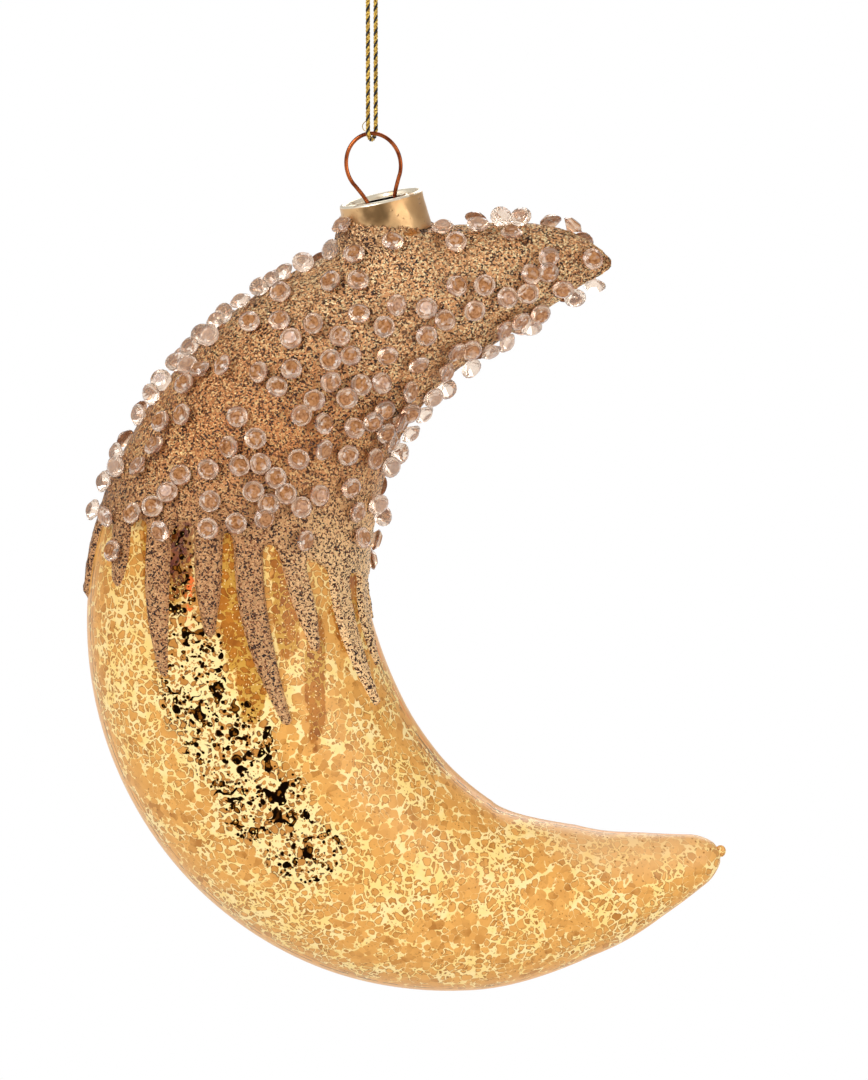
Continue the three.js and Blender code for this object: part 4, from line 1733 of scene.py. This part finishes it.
@dataclass
class BlownGlass:
    """The silvered crescent with its neck and its seal-off bead."""

    form: Crescent
    neck_radius: float = 6.4
    neck_bore: float = 5.2
    seal_bead: float = 0.7
    bead_shape: tuple[float, float, float] = (1.3, 0.9, 1.5)
    columns: int = 120
    rows: int = 190

    def build(self) -> None:
        """Wraps the crescent, adds its neck and bead, and silvers it."""
        form = self.form

        def outside(across: np.ndarray, down: np.ndarray) -> np.ndarray:
            """The glass's outer skin."""
            along = form.rows(0.0, form.length, down)
            return form.skin(along, math.tau * across, 0.0) * MM

        body = wrapped("glass", self.columns, self.rows, outside)
        close_up(body)
        neck = self.neck()
        bead = self.bead()
        glass = join([body, neck, bead], "silvered_moon")
        smooth(glass, 50)
        hand_in(glass, Body.MOON, Slot.GLASS, SilveredGlass().mixed(), "glass_moon")
        LOG.info("glass: %d faces, %.1f mm along", len(glass.data.polygons), form.length)

    def neck(self) -> Piece:
        """The short open neck inside the cap.

        Returns:
            The neck.
        """
        line = self.form.line
        top = line.cap_height + line.seat + line.coat_outer - 1.5
        outer, inner = self.neck_radius, self.neck_bore
        profile = [(inner, -3.0), (outer, -3.0), (outer, top - 0.3), (outer - 0.3, top),
                   (inner + 0.2, top), (inner, top - 0.2), (inner, -3.0)]
        return turned("neck", profile, line.neck_foot * MM, line.axis)

    def bead(self) -> Piece:
        """The bead where the lower tip was sealed off.

        Returns:
            The bead.
        """
        form = self.form
        tip = form.skin(np.array([form.length]), np.array([0.0]), 0.0)[0] * MM
        deselect()
        bpy.ops.mesh.primitive_uv_sphere_add(segments=20, ring_count=12,
                                             radius=self.seal_bead * MM, location=tip)
        bead = named("bead")
        bead.scale = self.bead_shape
        settle(bead)
        return bead


@dataclass
class Drip:
    """One run of glitter: its angle and lean round the section, its length and its width."""

    angle: float
    length: float
    width: float = 5.5
    lean: float = 0.0


@dataclass
class GlitterCoat:
    """The coat of glitter, which runs down the glass in drips."""

    form: Crescent
    thickness: float = 0.85
    bury: float = 0.3
    edge: float = 0.9
    reach: float = 88.4
    border_rise: float = 5.3
    # The border's small waves, and how many there are round the section
    wave: float = 0.4
    waves: int = 9
    grain: float = 0.12
    columns: int = 360
    coarse_rows: int = 46
    fine_rows: int = 92
    stone_seat: float = 1.3
    spare: float = 0.35
    neck_clear: float = 6.7
    neck_deep: float = 4.0
    mound_reach: float = 12.5
    mound_fall: float = 7.5
    pile_inner: float = 7.9
    pile_width: float = 2.6
    pile_front: float = 1.75
    pile_lean: float = 2.3
    pile_ragged: float = 0.2
    pile_steps: int = 220
    # The pile's bulge, a little right of its front: its height, and its angle and reach in radians
    bulge: float = 0.7
    bulge_around: float = -1.15
    bulge_reach: float = 0.3
    # How a drip bends to its lean, its width by shares of its length, and how softly it joins
    drip_bend: float = 2.2
    drip_taper: tuple[tuple[float, ...], tuple[float, ...]] = (
        (-0.15, 0.05, 0.4, 0.6, 0.85, 1.0), (1.25, 1.0, 0.93, 0.8, 0.48, 0.3))
    soft_join: float = 2.0
    grain_seed: int = 11
    pile_seed: int = 17
    drips: tuple[Drip, ...] = (
        Drip(-58, 8, 4.6, 6), Drip(-36, 21.4, 5, 8.5), Drip(-13.5, 17.6, 5.2, 7),
        Drip(4.6, 36.5, 5.2, 11), Drip(25.2, 22.8, 5, 11.5), Drip(53.5, 40, 5, 5),
        Drip(76.5, 29, 4, -5), Drip(104, 18, 5), Drip(128, 30, 5.5, -5), Drip(151, 12, 5.5, -8),
        Drip(174, 26, 5.5, -8), Drip(198, 15, 5.5, -9), Drip(222, 31, 5.5, -9),
        Drip(248, 17, 5.5, -7), Drip(274, 9, 4),
    )

    def border(self, angle: Union[float, np.ndarray]) -> Union[float, np.ndarray]:
        """How far along the line the coat's border lies at an angle round the section."""
        return self.reach - self.border_rise * np.cos(angle) ** 2

    def field(self, along: np.ndarray, angle: np.ndarray) -> np.ndarray:
        """Measures how far inside the coat's border a place lies.

        Args:
            along: Distances along the line, in millimetres.
            angle: Angles round the section, in radians.

        Returns:
            Millimetres inside the border, or outside where it is negative.
        """
        _, _, half = self.form.section(along)
        inside = self.border(angle) - along + self.wave * np.sin(self.waves * angle + 0.6)
        for drip in self.drips:
            root = math.radians(drip.angle)
            share = (along - self.border(root)) / drip.length
            bent = 1 - (1 - np.clip(share, 0, 1))**self.drip_bend
            middle = root + math.radians(drip.lean) * bent
            apart = np.angle(np.exp(1j * (angle - middle)))
            girth = half * math.hypot(math.cos(root), self.form.depth_share * math.sin(root))
            taper = np.interp(share, *self.drip_taper)
            width = drip.width / 2 * taper + self.edge * 0.3
            tip = self.border(root) + drip.length - width
            run = width - np.hypot(apart * girth, np.maximum(along - tip, 0))
            both = np.maximum(self.soft_join - np.abs(inside - run), 0) / self.soft_join
            inside = np.maximum(inside, run) + both**2 * 0.5
        return inside

    def build(self, finish: Material) -> None:
        """Wraps the coat over the glass, drops what lies past its border and thickens it.

        Args:
            finish: The glitter.
        """
        form = self.form
        longest = self.reach + max(drip.length for drip in self.drips) + 2
        rough = np.random.default_rng(self.grain_seed)
        measured: dict[str, np.ndarray] = {}

        def outside(across: np.ndarray, down: np.ndarray) -> np.ndarray:
            """The coat's outer skin, which dips under the glass past its border.

            Args:
                across: Shares of the way round.
                down: Shares of the way down.

            Returns:
                The points, in metres.
            """
            rows = self.coarse_rows + self.fine_rows
            split = self.coarse_rows / rows
            along = np.interp(down, [0, 0.04, split, 1],
                              [-self.thickness, 1.0, self.reach - 12, longest])
            angle = math.tau * across
            inside = self.field(along, angle)
            ease = np.clip(inside / self.edge, 0, 1)
            rise = ease * ease * (3 - 2 * ease)
            offset = -self.bury + (self.thickness + self.bury) * rise
            seam = np.isclose(across, 0) | np.isclose(across, 1)
            grain = rough.normal(0, self.grain / 2, along.shape) * (0.3 + 0.7 * rise) * ~seam
            measured["inside"] = inside
            points = form.skin(along, angle, np.maximum(offset + grain, -0.4))
            return self.mounded(points) * MM

        coat = wrapped("glitter_coat_skin", self.columns, self.coarse_rows + self.fine_rows, outside)
        self.trim(coat, measured["inside"])
        close_up(coat)
        wall = coat.modifiers.new("wall", "SOLIDIFY")
        wall.thickness = 0.3 * MM
        wall.offset = -1
        apply_all(coat)
        smooth(coat, 70)
        hand_in(coat, Body.MOON, Slot.GLITTER, finish, "glitter_coat")
        self.pile(coat, finish)
        LOG.info("coat: %d faces", len(coat.data.polygons))

    def pile(self, coat: Piece, finish: Material) -> None:
        """Piles glitter round the foot of the cap, highest on its left.

        Args:
            coat: The coat that the pile stands on.
            finish: The glitter.
        """
        line = self.form.line
        deselect()
        bpy.ops.mesh.primitive_torus_add(major_segments=self.pile_steps, minor_segments=24,
                                         major_radius=1, minor_radius=0.3)
        ring = named("glitter_pile")
        rough = np.random.default_rng(self.pile_seed)
        ragged = rough.normal(0, self.pile_ragged, self.pile_steps + 1)
        for vertex in ring.data.vertices:
            x, y, z = vertex.co
            around, girth = math.atan2(y, x), math.hypot(x, y)
            turn = math.atan2(z, girth - 1)
            outward = (1 + math.cos(turn)) / 2
            side = line.across * (x / girth) + Vector((0, y / girth, 0))
            spot = line.neck_foot + side * (self.pile_inner + self.pile_width * outward)
            hit, place, _, _ = coat.ray_cast((spot + line.axis * 20) * MM, -line.axis)
            surface = line.measure(place, line.neck_foot)[0] if hit else -3.0
            top = self.pile_top(around) + ragged[round(around / math.tau * self.pile_steps)]
            slope = max(top - surface, 0.0) * (1 - outward) ** 1.4
            height = surface + (slope if math.sin(turn) > -0.01 else -0.5)
            grain = Vector(rough.normal(0, 0.07, 3)) if outward > 0.02 else Vector()
            vertex.co = (spot + line.axis * height + grain) * MM
        ring.data.update()
        close_up(ring)
        smooth(ring, 70)
        hand_in(ring, Body.MOON, Slot.GLITTER, finish, "glitter_coat")

    def pile_top(self, around: float) -> float:
        """How high the pile stands against the cap at an angle round the neck.

        Args:
            around: The angle, from the right.

        Returns:
            The height over the neck's foot.
        """
        line = self.form.line
        wave = 0.25 * math.sin(3 * around + 1) + 0.15 * math.sin(7 * around)
        wave += self.bulge * math.exp(-((around - self.bulge_around) / self.bulge_reach) ** 2)
        return line.coat_outer + line.seat + self.pile_front - self.pile_lean * math.cos(around) + wave

    def mounded(self, points: np.ndarray) -> np.ndarray:
        """Piles the coat up against the foot of the cap.

        Args:
            points: The coat's points, in millimetres.

        Returns:
            The points, raised round the neck.
        """
        line = self.form.line
        axis, foot = np.array(line.axis), np.array(line.neck_foot)
        away = points - foot
        height = away @ axis
        radius = np.linalg.norm(away - height[:, None] * axis, axis=1)
        fall = np.clip((radius - self.pile_inner) / (self.mound_reach - self.pile_inner), 0, 1)
        target = line.coat_outer + 0.1 - self.mound_fall * fall**1.5
        lift = np.where((height > -12) & (radius < self.mound_reach),
                        np.maximum(target - height, 0) * (1 - fall), 0)
        return points + lift[:, None] * axis

    def trim(self, coat: Piece, inside: np.ndarray) -> None:
        """Takes away what lies past the border and what lies in the neck.

        Args:
            coat: The wrapped skin.
            inside: How far inside the border each of its points lies.
        """
        line = self.form.line
        beyond = inside < -self.spare

        def unwanted(polygon: bpy.types.MeshPolygon) -> bool:
            """Whether a face lies in the neck or wholly past the border.

            Args:
                polygon: The face.

            Returns:
                Whether to delete it.
            """
            height, away = line.measure(polygon.center, line.neck_foot)
            in_neck = away < self.neck_clear and height > -self.neck_deep
            return in_neck or all(beyond[i] for i in polygon.vertices)

        pick_faces(coat, unwanted)
        bpy.ops.mesh.delete(type="FACE")
        bpy.ops.object.mode_set(mode="OBJECT")


@dataclass
class SetStones:
    """The round brilliants: one for each CAD stone, and the field that is fused in CAD."""

    form: Crescent
    coat: GlitterCoat
    view: StudioView
    diameter: float = 3.8
    crown: float = 0.19
    pavilion: float = 0.42
    table: float = 0.56
    sides: int = 16
    edge: float = 0.05
    sink: float = 0.75
    lean: float = math.radians(26)
    proud: float = 1.9
    # The stones of the side that the picture doesn't show, and how they are drawn
    scattered: int = 105
    seed: int = 5
    tries: int = 5000
    unseen: tuple[float, float] = (math.radians(102), math.radians(258))
    neck_free: float = 10.0
    # How near a stone that the picture shows may stand to one of CAD's, in diameters
    apart: float = 0.6
    # Where the pavilion lies on the stone's map: in its clear crown
    underside: tuple[float, float] = (0.38, 0.0)
    # Centres of stones on the front, as read off the picture. The first two, on the piled glitter,
    # are set 6 to 8 px away from where they are seen, and its slope carries them back.
    seen_px: tuple[tuple[int, int], ...] = (
        (346, 231), (394, 246), (439, 236), (439, 218), (357, 258), (358, 279), (329, 280),
        (323, 249), (298, 256), (277, 266), (270, 280), (255, 283), (281, 295), (239, 300),
        (225, 295), (210, 316), (213, 306), (280, 318), (251, 324), (211, 338), (313, 322),
        (358, 313), (395, 305), (383, 325), (425, 308), (444, 322), (424, 336), (339, 335),
        (292, 341), (331, 362), (351, 358), (387, 354), (418, 363), (292, 368), (224, 362),
        (202, 371), (258, 372), (278, 389), (331, 380), (360, 385), (381, 385), (315, 402),
        (347, 400), (302, 417), (409, 393), (432, 398), (445, 373), (409, 414), (384, 411),
        (238, 414), (192, 328), (187, 346), (167, 357), (187, 363), (186, 386), (153, 377),
        (146, 392), (135, 410), (183, 411), (163, 423), (155, 442), (115, 453), (139, 462),
        (118, 467), (101, 481), (182, 471), (209, 467), (233, 430), (257, 440), (231, 448),
        (262, 465), (241, 467), (277, 479), (255, 492), (287, 495), (170, 493), (134, 508),
        (155, 507), (212, 502), (161, 529), (210, 524), (261, 514), (270, 505), (238, 524),
        (91, 510), (108, 517), (115, 551), (299, 458), (302, 508), (477, 223), (500, 220),
        (518, 214), (510, 236), (546, 256), (587, 258), (529, 274), (546, 274), (455, 286),
        (483, 285), (506, 297), (526, 295), (560, 289), (591, 294), (572, 304), (472, 311),
        (502, 329), (518, 322), (538, 315), (529, 327), (455, 353), (470, 351), (489, 352),
        (470, 369), (505, 343), (447, 395), (324, 423), (354, 427), (372, 423), (385, 434),
        (409, 434), (427, 421), (324, 451), (348, 454), (374, 460), (402, 458), (352, 486),
        (377, 505), (357, 513), (387, 519), (320, 496), (306, 541), (362, 538),
    )

    def brilliant(self) -> Piece:
        """Cuts one stone, with its point at the origin and its table upwards.

        Returns:
            The stone, with its map as seen from above.
        """
        radius = self.diameter / 2 * MM
        girdle = self.diameter * self.pavilion * MM
        deselect()
        bpy.ops.mesh.primitive_cone_add(vertices=self.sides, radius1=0, radius2=radius,
                                        depth=girdle, location=(0, 0, girdle / 2),
                                        end_fill_type="NGON")
        stone = named("brilliant")
        settle(stone)
        pick_faces(stone, lambda polygon: polygon.normal.z > 0.99)
        bpy.ops.mesh.extrude_region_move(
            TRANSFORM_OT_translate={"value": (0, 0, self.diameter * self.edge * MM)})
        bpy.ops.mesh.inset(thickness=radius * (1 - self.table), depth=self.diameter * self.crown * MM)
        bpy.ops.object.mode_set(mode="OBJECT")
        unwrapped = stone.data.uv_layers.active
        for polygon in stone.data.polygons:
            for loop in polygon.loop_indices:
                place = stone.data.vertices[stone.data.loops[loop].vertex_index].co
                away = place.xy / (2 * radius) if polygon.normal.z > -0.1 else self.underside
                unwrapped.data[loop].uv = (0.5 + away[0], 0.5 + away[1])
        return stone

    @staticmethod
    def sideways(up: Vector) -> float:
        """How far a stone stands at the edge of what the front shows, from 0 to 1."""
        return clamped((0.55 + up.y) / 0.4) * (up.y < 0.12)

    def copy(
        self, pattern: Piece, point: Vector, up: Vector, lot: np.random.Generator, name: str
    ) -> Piece:
        """Copies the pattern stone to a seat, with its own mesh.

        Args:
            pattern: The stone at the origin.
            point: Where its point would stand.
            up: The way out of the coat.
            lot: Draws its lean.
            name: The copy's name.

        Returns:
            The copy, which notes how far it stands at the side of the front view, where the finish paints a
            pale highlight on it and lets more light through.
        """
        mesh = pattern.data.copy()
        mesh.name = name
        mesh.transform(self.pressed_in(point, up, lot))
        clear = mesh.attributes.new("clear", "FLOAT", "POINT")
        clear.data.foreach_set("value", [self.sideways(up)] * len(mesh.vertices))
        return linked(name, mesh)

    @staticmethod
    def seat_of(node: str) -> tuple[Vector, Vector]:
        """Reads where a CAD stone stands, from its point and its table.

        Args:
            node: The CAD node.

        Returns:
            The stone's point, and its way up.
        """
        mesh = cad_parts[node].data
        facets: dict[tuple[float, ...], float] = {}
        for polygon in mesh.polygons:
            key = tuple(round(n, 2) for n in polygon.normal)
            facets[key] = facets.get(key, 0.0) + polygon.area
        up = Vector(max(facets, key=lambda k: facets[k])).normalized()
        point = min((vertex.co for vertex in mesh.vertices), key=lambda co: co.dot(up))
        return point.copy(), up

    def pressed_in(self, point: Vector, up: Vector, lot: np.random.Generator) -> Matrix:
        """Presses a stone into the coat a little askew; those at the sides lean to the front.

        Args:
            point: Where its point would stand.
            up: The way out of the coat.
            lot: Draws its lean.

        Returns:
            Its place.
        """
        turn = lot.uniform(0, math.tau)
        lean = self.lean * math.sqrt(lot.uniform())
        girdle = self.diameter * self.pavilion * MM
        askew = (Matrix.Translation((0, 0, girdle)) @ Matrix.Rotation(turn, 4, "Z")
                 @ Matrix.Rotation(lean, 4, "X") @ Matrix.Translation((0, 0, -girdle)))
        foot = point - up * self.sink * MM
        tipped = (up - Vector((0, 0.9 * self.sideways(up), 0))).normalized()
        middle = foot + up * girdle
        return standing(middle - tipped * girdle, tipped) @ askew

    def build(self, finish: Material) -> None:
        """Sets the stones of the CAD nodes one by one, and then the rest of the field.

        Args:
            finish: The cut glass.
        """
        lot = np.random.default_rng(self.seed)
        pattern = self.brilliant()
        names = sorted(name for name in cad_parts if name.startswith("stone_"))
        taken = []
        for node in names:
            point, up = self.seat_of(node)
            taken.append(point)
            stone = self.copy(pattern, point, up, lot, f"brilliant_{node[-2:]}")
            hand_in(stone, Body.MOON, Slot.STONE, finish, node)
        seats = self.seats_seen(taken)
        seats += self.seats_scattered(taken + [point for point, _ in seats], lot)
        rest = [self.copy(pattern, point, up, lot, f"field_{i}")
                for i, (point, up) in enumerate(seats)]
        field_piece = join(rest, "stone_field")
        hand_in(field_piece, Body.MOON, Slot.STONE, finish, "glitter_coat")
        bpy.data.objects.remove(pattern)
        LOG.info("stones: %d set one by one, %d in the field", len(names), len(seats))

    def seats_seen(self, taken: Sequence[Vector]) -> list[tuple[Vector, Vector]]:
        """Finds the seats of the stones that the picture shows and CAD has no node for.

        Args:
            taken: The seats of the CAD stones.

        Returns:
            Seats as points and ways up.
        """
        seats = []
        pile = bpy.data.objects["glitter_pile"]
        eye = self.view.eye
        above = (self.coat.stone_seat - self.coat.thickness) * MM
        for px in self.seen_px:
            x, z = self.view.on_middle_plane(px)
            along, angle = self.form.from_front(x, z, self.view.look_down, self.proud)
            point, up = self.form.normal(along, angle, self.coat.stone_seat)
            hit, place, out, _ = pile.ray_cast(eye, (Vector((x, 0, z)) * MM - eye).normalized())
            if hit and place.y < 0.002:
                up = (out + up).normalized()
                point = place + up * above
            if all((point - other).length > self.apart * self.diameter * MM for other in taken):
                seats.append((point, up))
        return seats

    def seats_scattered(
        self, taken: Sequence[Vector], lot: np.random.Generator
    ) -> list[tuple[Vector, Vector]]:
        """Scatters stones over the side that the picture doesn't show, denser lower down.

        Args:
            taken: The seats so far.
            lot: Draws the places.

        Returns:
            Seats as points and ways up.
        """
        line = self.form.line
        seats: list[tuple[Vector, Vector]] = []
        for _ in range(self.tries):
            angle = lot.uniform(*self.unseen)
            along = lot.uniform(4, float(self.coat.border(angle)) - 1)
            if len(seats) >= self.scattered or lot.uniform() > 0.3 + 0.7 * (along / 88) ** 2:
                continue
            point, up = self.form.normal(along, angle, self.coat.stone_seat)
            _, from_neck = line.measure(point, line.neck_foot)
            everyone = [*taken, *(other for other, _ in seats)]
            if from_neck > self.neck_free and all((point - o).length > self.diameter * MM for o in everyone):
                seats.append((point, up))
        return seats


def main() -> None:
    """Builds the scene and reports each piece."""
    logging.basicConfig(level=logging.INFO, format="%(name)s: %(message)s")
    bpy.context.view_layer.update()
    line = HangingLine()
    form = Crescent(line)
    view = StudioView()
    view.place_camera()
    CordLoop(line).build()
    HangerWire(line).build()
    StampedCap(line).build()
    BlownGlass(form).build()
    coat = GlitterCoat(form)
    coat.build(Glitter().mixed())
    SetStones(form, coat, view).build(CutStone().mixed())
    view.build()
    LOG.info("sizes written")


if __name__ == "__main__":
    main()
